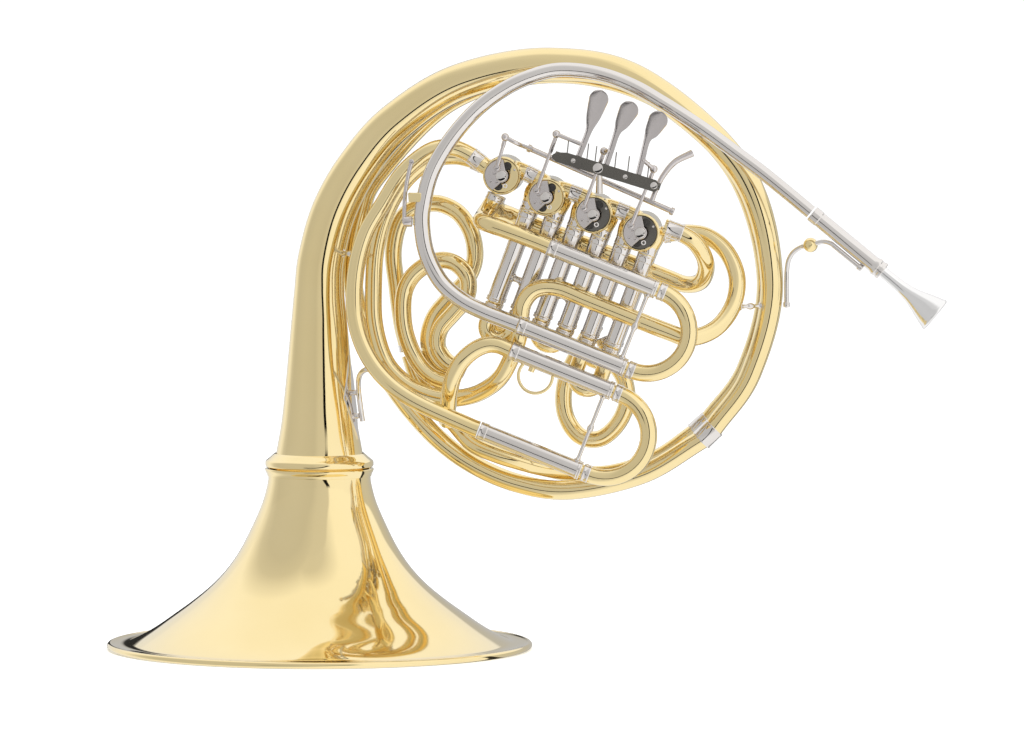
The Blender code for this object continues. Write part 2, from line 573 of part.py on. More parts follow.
def build_keys():
    for number in range(3):
        key_lever(number)
    along = (AXLE[1] - AXLE[0]).normalized()
    back = Vector((0, 22.0, 0))
    bar = rod_between("saddle_bar", AXLE[0] + back - along * 3, AXLE[1] + back + along * 4, 2.5, "steel")
    axle = rod_between("saddle_axle", AXLE[0], AXLE[1], 1.7, "steel")
    posts = []
    for share in (0.045, 0.66):
        place = AXLE[0].lerp(AXLE[1], share)
        posts.append(rod_between(f"saddle_post_{share}", place, place + back, 1.6, "steel"))
    foot = AXLE[0].lerp(AXLE[1], 0.42) + back
    posts.append(rod_between("saddle_foot", foot, Vector((205.6, -31, 333.8)), 1.6, "steel"))
    joined("key_saddle", [bar, axle] + posts)
    start, end = THUMB_AXLE
    rod = rod_between("thumb_rod", start, end, 2.0, "nickel_silver")
    touch = tube_curve("thumb_touch",
                       [routed([(243, -28, 327.2), (247, -27, 337.5), (252, -24, 347), (260, -20, 356),
                                               (272, -16, 362)], 1.9)], 0, "nickel_silver", HORN, 1)
    arm = tube_curve("thumb_arm", [routed([(157, -28, 364.7), (152, -42, 367.5), (147, -50.4, 370.2),
                                           (139, -50.4, 374.4)], 1.5)],
                     0, "nickel_silver", HORN, 1)
    joined("thumb_lever", [rod, touch, arm, ball("thumb_ball", (139, -50.4, 374.4), 2.7, "nickel_silver")])


def build_fittings():
    bar = tube_curve("water_lever",
                     [routed([(71.5, -49, 357), (68.6, -49, 345), (66.6, -49, 331), (66, -49, 312)], 1.5)],
                     0, "nickel_silver", HORN, 1)
    cup = turned("water_cup", [(0, 6.4), (3.2, 6.4), (3.2, 0), (0, 0)], "nickel_silver", HORN,
                 (65.5, -49, 313.5),
                 (1, 0, 0), steps=10)
    joined("water_key", [bar, cup])
    path = [(339.7, -2, 250), (340, -4, 277), (343, -8, 288), (350, -13, 294), (357.5, -18, 296),
            (366, -22, 298.6),
            (372, -25, 297.6), (376.1, -26, 294.6), (394.9, -26, 279.1)]
    strip = tube_curve("brace_rod", [routed(path, 1.7)], 0, "nickel_silver", HORN, 1)
    joined("ball_brace", [strip, ball("brace_ball", (357.5, -18, 296), 5.2, "nickel_silver")])


def centre_on_origin():
    """Stands the horn on Z = 0 with its bounding box centred on the Z axis."""
    bpy.context.view_layer.update()
    depsgraph = bpy.context.evaluated_depsgraph_get()
    corners = []
    for obj in PARTS.objects:
        if obj.type == "EMPTY":
            continue
        seen = obj.evaluated_get(depsgraph)
        corners += [seen.matrix_world @ v.co for v in seen.to_mesh().vertices]
        seen.to_mesh_clear()
    low = Vector([min(c[k] for c in corners) for k in range(3)])
    high = Vector([max(c[k] for c in corners) for k in range(3)])
    HORN.location = (-(low.x + high.x) / 2, -(low.y + high.y) / 2, -low.z)
    bpy.context.view_layer.update()


build_bell()
build_slides()
build_valve_slides()
build_valves()
build_linkage()
build_tubing()
build_leadpipe()
build_keys()
build_fittings()
centre_on_origin()
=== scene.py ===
"""Looks of the double french horn: fine tubing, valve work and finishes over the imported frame.

Route points are millimetres in the coil frame of the model: X from the bell axis, Y back, Z up from
the bell rim. They repeat the routes of the design and are turned into smooth curves here.
"""
import math

import bmesh
import bpy
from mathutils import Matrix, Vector

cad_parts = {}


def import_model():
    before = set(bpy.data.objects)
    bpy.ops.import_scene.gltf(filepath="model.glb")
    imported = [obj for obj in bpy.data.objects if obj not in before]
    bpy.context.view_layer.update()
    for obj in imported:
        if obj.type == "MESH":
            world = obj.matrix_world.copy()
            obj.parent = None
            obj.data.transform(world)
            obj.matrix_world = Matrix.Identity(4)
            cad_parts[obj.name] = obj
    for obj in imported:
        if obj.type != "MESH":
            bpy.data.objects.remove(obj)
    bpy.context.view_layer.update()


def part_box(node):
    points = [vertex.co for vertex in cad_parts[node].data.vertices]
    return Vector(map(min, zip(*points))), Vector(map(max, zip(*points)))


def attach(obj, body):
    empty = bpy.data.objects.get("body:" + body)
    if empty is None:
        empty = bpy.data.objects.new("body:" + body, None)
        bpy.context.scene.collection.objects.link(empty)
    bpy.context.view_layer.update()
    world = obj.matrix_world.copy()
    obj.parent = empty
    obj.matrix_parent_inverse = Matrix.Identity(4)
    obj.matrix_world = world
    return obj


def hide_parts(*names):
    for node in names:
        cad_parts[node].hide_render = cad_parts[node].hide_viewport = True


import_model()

MM = 0.001
BELL_LOW, BELL_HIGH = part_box("bell_flare")
BELL_X = (BELL_LOW[0] + BELL_HIGH[0]) / 2

# Centre of the main coil
COIL_X = 170.0
COIL_Z = 270.5
# Directions of the tuning slides and of the row of valves, both sloping down to the right
SLOPE = math.radians(-21.7)
ALONG = Vector((math.cos(SLOPE), 0, math.sin(SLOPE)))
ACROSS = Vector((-math.sin(SLOPE), 0, math.cos(SLOPE)))
ROW = math.radians(-20.4)
ROW_ALONG = Vector((math.cos(ROW), 0, math.sin(ROW)))
ROW_ACROSS = Vector((-math.sin(ROW), 0, math.cos(ROW)))
RIGHT = Vector((1, 0, 0))
FRONT = Vector((0, -1, 0))
BACK = Vector((0, 1, 0))
UP = Vector((0, 0, 1))
ORIGIN = (0, 0, 0)
TUBE_RADIUS = 6.2
# Depths of the layers of tubing: tuning slides, first layer of valve slides, second layer
SLIDE_DEPTH = -50.0
FIRST_LAYER = -19.0
SECOND_LAYER = 3.0
VALVES = [(135.5, 346), (167.5, 330.7), (201.5, 318.3), (235.5, 305.4)]
TAGS = ["change", "first", "second", "third"]


# ==== Materials

def node(tree, kind, **values):
    item = tree.nodes.new(kind)
    for name, value in values.items():
        if name in item.inputs:
            item.inputs[name].default_value = value
        else:
            setattr(item, name, value)
    return item


def wire(source, output, target, socket):
    target.id_data.links.new(source.outputs[output], target.inputs[socket])


def fill(item, **values):
    """Sets inputs by name, with _ for a space."""
    for name, value in values.items():
        item.inputs[name.replace("_", " ")].default_value = value


def shaded(name):
    """A new material with its node tree and shader."""
    mat = bpy.data.materials.new(name)
    mat.use_nodes = True
    tree = mat.node_tree
    return mat, tree, tree.nodes["Principled BSDF"]


def metal(name, light, deep, roughness, smear, bump=0.008, coat=0.0):
    """Polished metal: slow colour drift, fine buffing marks in roughness and a faint waviness."""
    mat, tree, shader = shaded(name)
    fill(shader, Metallic=1.0, Coat_Weight=coat, Coat_Roughness=0.03)
    place = node(tree, "ShaderNodeTexCoord")
    drift = node(tree, "ShaderNodeTexNoise", Scale=9.0, Detail=3.0, Roughness=0.55)
    wire(place, "Object", drift, "Vector")
    ramp = node(tree, "ShaderNodeMix", data_type="RGBA")
    fill(ramp, A=(*deep, 1), B=(*light, 1))
    soft = node(tree, "ShaderNodeMapRange")
    fill(soft, From_Min=0.3, From_Max=0.62)
    wire(drift, "Fac", soft, "Value")
    wire(soft, "Result", ramp, "Factor")
    wire(ramp, "Result", shader, "Base Color")
    buff = node(tree, "ShaderNodeTexNoise", Scale=160.0, Detail=4.0, Roughness=0.65)
    wire(place, "Object", buff, "Vector")
    rough = node(tree, "ShaderNodeMapRange")
    fill(rough, To_Min=max(roughness - smear, 0.02), To_Max=roughness + smear)
    wire(buff, "Fac", rough, "Value")
    wire(rough, "Result", shader, "Roughness")
    wave = node(tree, "ShaderNodeTexNoise", Scale=55.0, Detail=2.0)
    wire(place, "Object", wave, "Vector")
    relief = node(tree, "ShaderNodeBump", Strength=bump, Distance=0.0004)
    wire(wave, "Fac", relief, "Height")
    wire(relief, "Normal", shader, "Normal")
    return mat


def cork_material():
    mat, tree, shader = shaded("black_cork")
    place = node(tree, "ShaderNodeTexCoord")
    grain = node(tree, "ShaderNodeTexVoronoi", Scale=900.0)
    wire(place, "Object", grain, "Vector")
    mix = node(tree, "ShaderNodeMix", data_type="RGBA")
    fill(mix, A=(0.012, 0.011, 0.010, 1), B=(0.05, 0.045, 0.04, 1))
    wire(grain, "Distance", mix, "Factor")
    wire(mix, "Result", shader, "Base Color")
    fill(shader, Roughness=0.75)
    relief = node(tree, "ShaderNodeBump", Strength=0.3, Distance=0.0003)
    wire(grain, "Distance", relief, "Height")
    wire(relief, "Normal", shader, "Normal")
    return mat


BRASS = metal("lacquered_yellow_brass", (0.94, 0.775, 0.425), (0.91, 0.735, 0.375), 0.06, 0.025, coat=0.35)
NICKEL = metal("nickel_silver_polished", (0.81, 0.775, 0.745), (0.74, 0.70, 0.665), 0.08, 0.03)
SILVER = metal("silver_plate_bright", (0.92, 0.91, 0.90), (0.88, 0.87, 0.86), 0.06, 0.03)
SATIN = metal("nickel_brushed_keys", (0.71, 0.665, 0.65), (0.59, 0.55, 0.54), 0.17, 0.06, bump=0.05)
# Dark steel for the key saddle, its strip and the springs. On the bearing plates of the second and third
# valves the same dark finish is painted shade.
DARK_STEEL_AND_SHADE = metal("darkened_steel_and_painted_shade", (0.20, 0.19, 0.17), (0.13, 0.12, 0.11), 0.28, 0.08, bump=0.05)
CORK = cork_material()


# ==== Shape helpers

def world(point):
    """A point of the coil frame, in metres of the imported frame."""
    return Vector((point[0] * MM + BELL_X, point[1] * MM, point[2] * MM))


def piece(name, build, finish, body="corpus", replaces=(), sharp=35.0):
    """Turns a bmesh in millimetres into a finished piece riding on a body."""
    mesh = bpy.data.meshes.new(name)
    bmesh.ops.recalc_face_normals(build, faces=build.faces[:])
    for vert in build.verts:
        vert.co = world(vert.co)
    build.to_mesh(mesh)
    build.free()
    mesh.shade_smooth()
    mesh.set_sharp_from_angle(angle=math.radians(sharp))
    mesh.materials.append(finish)
    obj = bpy.data.objects.new(name, mesh)
    bpy.context.scene.collection.objects.link(obj)
    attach(obj, body)
    if replaces:
        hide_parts(*replaces)


def smooth_route(points, step=2.2):
    """Evenly spaced (place, radius) samples of a Catmull-Rom curve through 4D points."""
    ends = [points[0].lerp(points[1], -1)] + points + [points[-1].lerp(points[-2], -1)]
    fine = []
    for a, b, c, d in zip(ends, ends[1:], ends[2:], ends[3:]):
        count = max(2, int((c - b).xyz.length / step))
        for k in range(count):
            t = k / count
            fine.append(0.5 * (2 * b + (c - a) * t + (2 * a - 5 * b + 4 * c - d) * t * t
                               + (3 * b - a - 3 * c + d) * t * t * t))
    fine.append(points[-1])
    return [(p.xyz, p.w) for p in fine]


def skin(build, rows):
    """Faces between closed rows of vertices, and one over each end."""
    count = len(rows[0])
    for one, two in zip(rows, rows[1:]):
        for k in range(count):
            j = (k + 1) % count
            build.faces.new((one[k], one[j], two[j], two[k]))
    build.faces.new(rows[0])
    build.faces.new(list(reversed(rows[-1])))


def sweep(build, samples, sides):
    """A round rod along (place, radius) samples, closed at both ends; gives its rings of vertices."""
    rings = []
    angles = [math.tau * k / sides for k in range(sides)]
    tangent = (samples[1][0] - samples[0][0]).normalized()
    normal = tangent.orthogonal().normalized()
    last = tangent
    for index, (place, radius) in enumerate(samples):
        ahead = samples[min(index + 1, len(samples) - 1)][0]
        behind = samples[max(index - 1, 0)][0]
        tangent = (ahead - behind).normalized() if (ahead - behind).length > 1e-6 else last
        turn = last.rotation_difference(tangent)
        normal = (turn @ normal).normalized()
        last = tangent
        other = tangent.cross(normal)
        around = [(normal * math.cos(a) + other * math.sin(a)) * radius for a in angles]
        rings.append([build.verts.new(place + out) for out in around])
    skin(build, rings)
    return rings


def spun(build, profile, centre, axis, steps, closed=False):
    """A turned shape: (radius, height) profile spun round an axis through a centre."""
    axis = Vector(axis).normalized()
    side = axis.orthogonal().normalized()
    other = axis.cross(side)
    centre = Vector(centre)
    angles = [math.tau * k / steps for k in range(steps)]
    columns = [side * math.cos(a) + other * math.sin(a) for a in angles]
    rows = []
    for radius, height in profile:
        if radius < 1e-6:
            rows.append([build.verts.new(centre + axis * height)])
        else:
            rows.append([build.verts.new(centre + axis * height + out * radius) for out in columns])
    pairs = list(zip(rows, rows[1:]))
    if closed:
        pairs.append((rows[-1], rows[0]))
    for one, two in pairs:
        for k in range(steps):
            j = (k + 1) % steps
            corners = [one[k % len(one)], one[j % len(one)], two[j % len(two)], two[k % len(two)]]
            unique = list(dict.fromkeys(corners))
            if len(unique) > 2:
                build.faces.new(unique)
    for end in (rows[0], rows[-1]):
        if not closed and len(end) > 1:
            build.faces.new(end)


def round_edge(radius, low, high, bevel):
    """Profile of a disc or rod with softly rounded rims, from top centre to bottom centre."""
    steps = 3
    quarter = [math.pi / 2 * k / steps for k in range(steps + 1)]
    top = [(radius - bevel + bevel * math.sin(a), high - bevel + bevel * math.cos(a)) for a in quarter]
    bottom = [(radius - bevel + bevel * math.cos(a), low + bevel - bevel * math.sin(a)) for a in quarter]
    return [(0, high)] + top + bottom + [(0, low)]


def disc(build, radius, low, high, bevel, place, axis, steps):
    """A disc or rod with rounded rims, between two heights along an axis."""
    spun(build, round_edge(radius, low, high, bevel), place, axis, steps)


def ball_profile(radius, count):
    return [(radius * math.sin(math.pi * k / count), radius * math.cos(math.pi * k / count))
            for k in range(count + 1)]


def prism(build, outline, centre, first, second, low, high, bevel=0.3):
    """A plate: outline of (a, b) points in the plane of two axes, from low to high along their normal."""
    normal = first.cross(second).normalized()
    centre = Vector(centre)
    mid = Vector((sum(p[0] for p in outline), sum(p[1] for p in outline))) / len(outline)
    rows = []
    for height, inset in ((low, bevel), (low + bevel, 0), (high - bevel, 0), (high, bevel)):
        row = []
        for a, b in outline:
            out = Vector((a, b)) - mid
            flat = mid + out * (1 - inset / max(out.length, 0.1))
            row.append(build.verts.new(centre + first * flat.x + second * flat.y + normal * height))
        rows.append(row)
    skin(build, rows)


def arc(radius, start, stop, count):
    """Points (a, b) of an arc about the origin."""
    angles = [start + (stop - start) * k / count for k in range(count + 1)]
    return [(radius * math.cos(a), radius * math.sin(a)) for a in angles]


def routed(points, radius=TUBE_RADIUS):
    """4D route points from tuples; a tuple of three gets the given radius."""
    return [Vector((*p[:3], p[3] if len(p) == 4 else radius)) for p in points]


def tube(name, route, finish, replaces, sides=24):
    """A smooth tube of the corpus along a route of 4D points."""
    build = bmesh.new()
    sweep(build, smooth_route(route), sides)
    piece(name, build, finish, "corpus", replaces)


def turned(name, profile, centre, axis, finish, body, replaces=(), steps=48, sharp=32.0):
    """A turned piece; a profile that starts off the axis is closed into a ring."""
    build = bmesh.new()
    closed = profile[0][0] > 1e-6
    spun(build, profile, centre, axis, steps, closed)
    piece(name, build, finish, body, replaces, sharp)


def collar(build, centre, axis, radius, half, proud=0.55, steps=32):
    """A soldered ferrule: a ring standing proud of the tube, with a fine rolled bead at each end."""
    inner = radius - 0.4
    outer = radius + proud
    bead = outer + 0.2
    profile = [(inner, half), (outer - 0.1, half), (bead, half - 0.5), (bead, half - 1),
               (outer, half - 1.5),
               (outer, -half + 1.5), (bead, -half + 1), (bead, -half + 0.5), (outer - 0.1, -half),
               (inner, -half)]
    spun(build, profile, centre, axis, steps, True)


def polar(angle, radius=1.0):
    """A vector in the plane of the coil, at an angle from the right."""
    return Vector((math.cos(angle), 0, math.sin(angle))) * radius


def coil_point(angle, coil_radius, tube_radius, depth):
    """A 4D route point at an angle (degrees) round the coil."""
    a = math.radians(angle)
    return Vector((COIL_X + coil_radius * math.cos(a), depth, COIL_Z + coil_radius * math.sin(a),
                   tube_radius))


# ==== Bell

FLARE = [
    (0, 153.5), (3, 143.5), (8, 131.8), (15, 119.6), (25, 105.3), (35, 91.6), (46, 78.4), (58, 67.2),
    (72, 57.6), (88, 49.4), (106, 41.6), (119, 38), (125, 37.2), (131.6, 37.2)]
STEM = [(133, 32.6), (143, 31.4), (164, 27.7), (186, 25.2), (210, 22.9), (235, 20.6), (260, 18.2)]
TAIL = [
    (175, 168.6, 17.2, 0), (163, 166, 16.5, 0), (150, 162.6, 15.5, 0), (135, 160, 14.5, 0),
    (115, 157, 13.3, 0), (90, 154.8, 12.2, 0), (65, 155.4, 11, 0), (30, 157.3, 9.6, 0), (0, 158.8, 8.3, 0),
    (-25, 159.4, 7.6, 0), (-43, 159.5, 7.2, 0)]
BRANCH = [
    (-47, 159.4, 7.1, 0), (-65, 156.6, 7.1, 0.5), (-85, 154.8, 7.1, 2), (-100, 151.8, 7, 3.5),
    (-115, 147.6, 7, 5), (-130, 143.4, 7, 7), (-148, 141.5, 7, 10), (-165, 143.5, 7, 12.5),
    (-180, 147, 7, 14.8), (-197, 148, 6.9, 17.3), (-210, 148, 6.8, 19), (-240, 147.6, 6.7, 19.5),
    (-270, 147.2, 6.6, 19.8), (-300, 149, 6.5, 19.2), (-330, 151.5, 6.4, 17.8), (-360, 153.5, 6.3, 17),
    (-385, 154, 6.3, 16.8), (-403, 153, 6.3, 16.8)]


def build_bell():
    """The spun flare with its rolled rim wire, the screw rings above it and the tapering tail."""
    fine = smooth_route([Vector((r, h, 0, 1)) for h, r in FLARE], 1.6)
    outer = [(p.x, p.y) for p, _ in reversed(fine)][1:]
    inner = [(r - 0.95, h - 0.35) for r, h in reversed(outer)][2:]
    bead = [(152.6 + 2.3 * math.cos(a), 2.4 + 2.3 * math.sin(a)) for a in
            [math.pi * (0.72 - k / 7) for k in range(12)]]
    outer = [p for p in outer if p[1] > 4]
    inner = [p for p in inner if 3.0 < p[1] < 130.2]
    turned("bell_flare_spun", outer + bead + inner, ORIGIN, UP, BRASS, "bell", ["bell_flare"], 144, 50)
    nut = [
        (37.4, 131.5), (39, 131.5), (39.5, 131.1), (39.6, 130.4), (39.3, 129.6), (38.6, 128.2), (38, 126.9),
        (37.9, 125.9), (37.4, 125.7)]
    turned("bell_nut_band", nut, ORIGIN, UP, BRASS, "bell", ["bell_nut_ring"], 96)
    screw = [
        (32.4, 142.4), (33.2, 141.9), (34.4, 140.9), (36, 139.4), (37.6, 138.1), (38.7, 137.3),
        (39.2, 136.6), (39.4, 135.6), (39.4, 134), (39.2, 133.2), (38.7, 132.6), (38, 132.3), (32.4, 132.3)]
    turned("bell_screw_band", screw, ORIGIN, UP, BRASS, "corpus", ["bell_screw_ring"], 96)
    points = [Vector((0, 0, z, r)) for z, r in STEM] + [coil_point(*s) for s in TAIL]
    tube("bell_tail_taper", points, BRASS, ["bell_tail"], 48)


def build_coil():
    """The two branches that go on from the tail, and the ferrules at the joints."""
    tube("first_branch_tube", [coil_point(*s) for s in BRANCH], BRASS, ["first_branch"], 32)
    tube("inner_branch_tube", [coil_point(*s) for s in INNER_BRANCH] + routed(INNER_BRANCH_END), BRASS,
         ["inner_branch"])
    for name, before, after in (("tail_ferrule", TAIL[-1], BRANCH[0]),
                                ("branch_ferrule", BRANCH[-1], INNER_BRANCH[0])):
        start, end = coil_point(*before), coil_point(*after)
        build = bmesh.new()
        collar(build, (start + end).xyz / 2, (end - start).xyz, before[2] + 0.4, 7, 0.45, 40)
        piece(name + "_beaded", build, NICKEL, "corpus", [name])


# ==== Slides

# Slides: centre of the bow, half distance of the legs, both ends of the outer tubes, directions and radii
TUNING = {"across": ACROSS, "along": ALONG, "leg": 5.1, "bow": 6.2, "sleeve": 6.3}
MAIN_SLIDE = {**TUNING, "centre": Vector((241.2, SLIDE_DEPTH, 235.1)), "bend": 30.35, "inner_end": -87.6,
              "mouth": -4.5}
FIRST_SLIDE = {**TUNING, "centre": Vector((211.5, SLIDE_DEPTH, 160.4)), "bend": 31, "inner_end": -86,
               "mouth": -7}
VALVE_SLIDES = [(f"valve_slide_{valve}_{side}", valve, depth, end)
                for side, depth, ends in
                (("front", FIRST_LAYER, (101, 92, 112)), ("back", SECOND_LAYER, (92, 90, 92)))
                for valve, end in zip((1, 2, 3), ends)]


def crook(slide):
    """Samples of a pull-out crook: leg, half-round bow, leg."""
    across, along = slide["across"], slide["along"]
    leg, bow = slide["leg"], slide["bow"]
    centre, bend, mouth = slide["centre"], slide["bend"], slide["mouth"] + 1.0
    start = slide["inner_end"] + 6.0
    samples = [(centre + across * bend + along * start, leg), (centre + across * bend + along * mouth, leg),
               (centre + across * bend + along * (mouth + 0.5), bow)]
    count = 28
    for k in range(count + 1):
        angle = math.pi / 2 - math.pi * k / count
        samples.append((centre + across * bend * math.sin(angle) + along * bend * math.cos(angle), bow))
    samples += [(centre - across * bend + along * (mouth + 0.5), bow),
                (centre - across * bend + along * mouth, leg),
                (centre - across * bend + along * start, leg)]
    return samples


def crook_piece(name, slide, body, bow_ring):
    """A crook with a band at each end of its bow, as wide as bow_ring."""
    build = bmesh.new()
    sweep(build, crook(slide), 28)
    piece(name + "_crook", build, BRASS, body, [name])
    across, along = slide["across"], slide["along"]
    build = bmesh.new()
    half = bow_ring / 2
    for sign in (1, -1):
        place = slide["centre"] + across * slide["bend"] * sign + along * (slide["mouth"] + 1.6 + half)
        collar(build, place, along, slide["bow"], half, 0.25)
    piece(name + "_bands", build, NICKEL, body)


def sleeve_piece(name, slides, station):
    """Outer slide tubes with end ferrules, and turned braces between them, a station below the mouth."""
    build = bmesh.new()
    for slide in slides:
        across, along, radius = slide["across"], slide["along"], slide["sleeve"]
        for sign in (1, -1):
            line = slide["centre"] + across * slide["bend"] * sign
            ends = (slide["inner_end"], slide["mouth"])
            sweep(build, [(line + along * end, radius) for end in ends], 28)
            collar(build, line + along * (slide["mouth"] - 1.6), along, radius, 1.6, 0.4)
            collar(build, line + along * (slide["inner_end"] + 3), along, radius, 3, 0.3)
        middle = slide["centre"] + along * (slide["mouth"] - station)
        turned_brace(build, middle, across, slide["bend"] - radius)
    if len(slides) == 2:
        ends = [s["centre"] + s["across"] * s["bend"] + s["along"] * (s["mouth"] - station) for s in slides]
        apart = ends[1] - ends[0]
        turned_brace(build, (ends[0] + ends[1]) / 2, apart, apart.length / 2 - slides[0]["sleeve"])
    piece(name + "_tubes", build, NICKEL, "corpus", [name])


def turned_brace(build, middle, axis, half):
    """A brace rod with a bead in the middle and flared feet at both ends."""
    profile = [(0, half + 0.6), (3, half + 0.6), (2.9, half - 0.2), (1.9, half - 1), (1.5, half - 2.2)]
    if half > 6:
        profile += [(1.35, 3.2), (1.9, 2.2), (2.3, 1.2), (2.45, 0)]
    else:
        profile += [(1.4, 0)]
    profile = profile + [(r, -h) for r, h in reversed(profile[:-1])]
    spun(build, profile, middle, Vector(axis).normalized(), 20)


def valve_slide(valve, depth, end):
    """A slide below a valve, in a layer, with the centre of its bow at a distance from the valve."""
    x, z = VALVES[valve]
    down = -ROW_ACROSS
    return {"centre": Vector((x, depth, z)) + down * end, "bend": 9.3, "inner_end": 14.5 - end,
            "mouth": 85 - end, "along": down, "across": ROW_ALONG, "leg": 4.95, "bow": 5.8, "sleeve": 6.1}


def build_slides():
    crook_piece("main_tuning_slide", MAIN_SLIDE, "main_slide", 5.2)
    crook_piece("first_tuning_slide", FIRST_SLIDE, "first_slide", 5.2)
    sleeve_piece("main_tuning_slide_sleeves", [MAIN_SLIDE], 5)
    sleeve_piece("first_tuning_slide_sleeves", [FIRST_SLIDE], 5)
    for name, valve, depth, end in VALVE_SLIDES:
        crook_piece(name, valve_slide(valve, depth, end), name, 3)
    for number in (1, 2, 3):
        pair = [valve_slide(v, d, e) for _, v, d, e in VALVE_SLIDES if v == number]
        sleeve_piece(f"valve_slide_{number}_sleeves", pair, 20)


# ==== Fixed tubing

CHANGE_LOOP = [
    (122.4, -19, 352), (112, -19, 360), (98.5, -20, 365.3), (82.5, -22, 363), (63.5, -25, 347.5),
    (49, -28, 325), (36.5, -31, 303), (29.8, -35, 276), (29.5, -39, 246), (37, -44, 221), (52, -48, 200),
    (74, -50, 184)]
SECOND_LOOP = [
    (122.4, 3, 350.5), (111, 3, 356), (97, 3, 358.5), (80, 2, 355), (62, 0, 340), (49, -2, 317),
    (42, -4, 292), (40, -5, 262), (41, -6, 236), (48, -7, 212), (60, -8, 197), (76, -9, 187.5),
    (94, -11, 183.5), (111, -15, 185.5), (124, -21.5, 191.5), (134.5, -28.5, 200.5), (142, -32.5, 214),
    (147, -34, 227), (148.5, -34.5, 238)]
INNER_RIGHT = [
    (251.9, -19, 308.6), (262, -19, 305), (273, -18, 298.5), (280, -12, 288), (281.5, -3, 277.5),
    (277, 7, 268), (266, 14, 265.5), (250, 16.6, 271), (200, 16.6, 291), (150, 16.4, 310.4), (137, 12, 316),
    (130, 6, 319.5), (127.8, 3, 325), (129.8, 3, 330.6)]
OUTER_RIGHT = [
    (250.2, 3, 302.3), (262, 3, 303.5), (281, 2, 301.5), (296, 0, 290), (304, -5, 271), (301, -14, 251),
    (289, -25, 235.5), (271, -33.5, 229.5), (254, -34.5, 234.4), (200, -34.5, 255.6), (176, -34.5, 265),
    (160, -34.5, 264), (151, -34.5, 254), (148.7, -34.5, 240)]
UPPER_CURL = [
    (63.2, 20, 216.5), (58.5, 20, 236), (55, 20, 262), (52.5, 20, 290), (60, 20, 314), (80, 20, 323.5),
    (98, 20, 318), (109, 20, 303), (112, 20, 284), (106, 20, 268), (94, 20, 255), (82, 20, 240),
    (78, 20, 222), (85, 19, 206), (101, 18, 199)]
LOWER_CURL = [
    (100, 4, 192), (82, 4, 198), (70, 5, 211), (62, 5, 232), (61, 5, 255), (66, 5, 269), (77, 5, 279),
    (90, 5, 283), (101, 5, 279), (108, 5, 269), (107, 5, 256), (98, 5, 245), (88, 5, 233), (86, 4, 220),
    (93, 4, 209), (106, 4, 203)]
CROSSOVER_END = [
    (141, -50, 307), (128, -48.5, 311.5), (121.5, -42, 313.5), (121.5, -33, 315.5), (124.5, -23, 321),
    (128, -19.3, 327), (130.2, -19, 331.6)]
FIRST_RETURN_END = [
    (125.5, -50, 224.8), (116, -49.5, 220.5), (107, -48, 212), (101, -44.5, 201), (98, -39, 190),
    (96.5, -32, 180.5), (95.2, -26, 173.5), (95, -19, 167)]
INNER_BRANCH = [(-407.5, 152.4, 6.2, 16.6), (-420, 151.5, 6.2, 16.6), (-433, 149, 6.2, 16),
                (-444, 144, 6.2, 13)]
INNER_BRANCH_END = [
    (162.8, 3, 132.2), (146, -3, 137), (129, -5, 142.5), (112, -3, 150), (97, 4, 165), (82, 14, 178),
    (70, 19, 197), (64.3, 20, 213)]
LOWER_LOOP = [
    (200, 16.6, 236), (187.5, 16.6, 215), (178, 16.6, 193), (178, 16.6, 171), (188, 16.6, 155),
    (203, 16.6, 152.5), (216, 16.6, 163), (223, 16.6, 179), (221, 16.6, 196), (212, 16.6, 211),
    (206, 16.6, 226)]
LEADPIPE = [
    (357.9, -26, 320, 4.9), (340, -26, 334.8, 4.9), (322, -26, 349.2, 5), (302, -26, 364, 5),
    (282, -26, 378.6, 5.1), (262, -26, 391.8, 5.1), (250, -26.5, 399.2, 5.1), (232, -27, 409.5, 5.2),
    (212, -27.5, 417.5, 5.2), (192, -28.5, 421.6, 5.3), (172.5, -30, 421.8, 5.3), (154, -32, 416.6, 5.4),
    (137.5, -34, 408.6, 5.5), (121, -37, 396.8, 5.6), (106.5, -41, 381.8, 5.6), (94.5, -45, 365.3, 5.7),
    (85.5, -48, 348, 5.7), (80.5, -50, 329, 5.8), (79, -50, 311, 5.9), (82.5, -50, 290, 5.9),
    (92.5, -50, 270.5, 6), (107.5, -50, 257, 6.1), (124, -50, 248.6, 6.1), (138, -50, 243.2, 6.1)]


def sleeve_end(slide, sign):
    """The first two route points of a tube that starts just behind a slide's outer tube."""
    end = slide["centre"] + ACROSS * slide["bend"] * sign + ALONG * (slide["inner_end"] - 0.8)
    return [Vector((*(end - ALONG * back), TUBE_RADIUS)) for back in (0, 9)]


def build_tubing():
    tube("change_loop_tube", routed(CHANGE_LOOP) + sleeve_end(FIRST_SLIDE, -1)[::-1], BRASS, ["change_loop"])
    tube("crossover_tube", sleeve_end(MAIN_SLIDE, 1) + routed(CROSSOVER_END), BRASS, ["crossover"])
    tube("first_return_tube", sleeve_end(FIRST_SLIDE, 1) + routed(FIRST_RETURN_END), BRASS, ["first_return"])
    for name, route in (("second_loop", SECOND_LOOP), ("right_loop_inner", INNER_RIGHT),
                        ("right_loop_outer", OUTER_RIGHT), ("upper_curl", UPPER_CURL),
                        ("lower_curl", LOWER_CURL),
                        ("lower_loop", LOWER_LOOP)):
        tube(name + "_tube", routed(route), BRASS, [name])
    tube("leadpipe_tube", routed(LEADPIPE) + sleeve_end(MAIN_SLIDE, -1)[:1], NICKEL, ["leadpipe"], 32)


# ==== Valves

LINK_DEPTH = -45.0
KEY_BALLS = [Vector((176, LINK_DEPTH, 376.8)), Vector((210.2, LINK_DEPTH, 364.6)),
             Vector((246, LINK_DEPTH, 351.8))]
THUMB_BALL = Vector((139, LINK_DEPTH, 374.4))
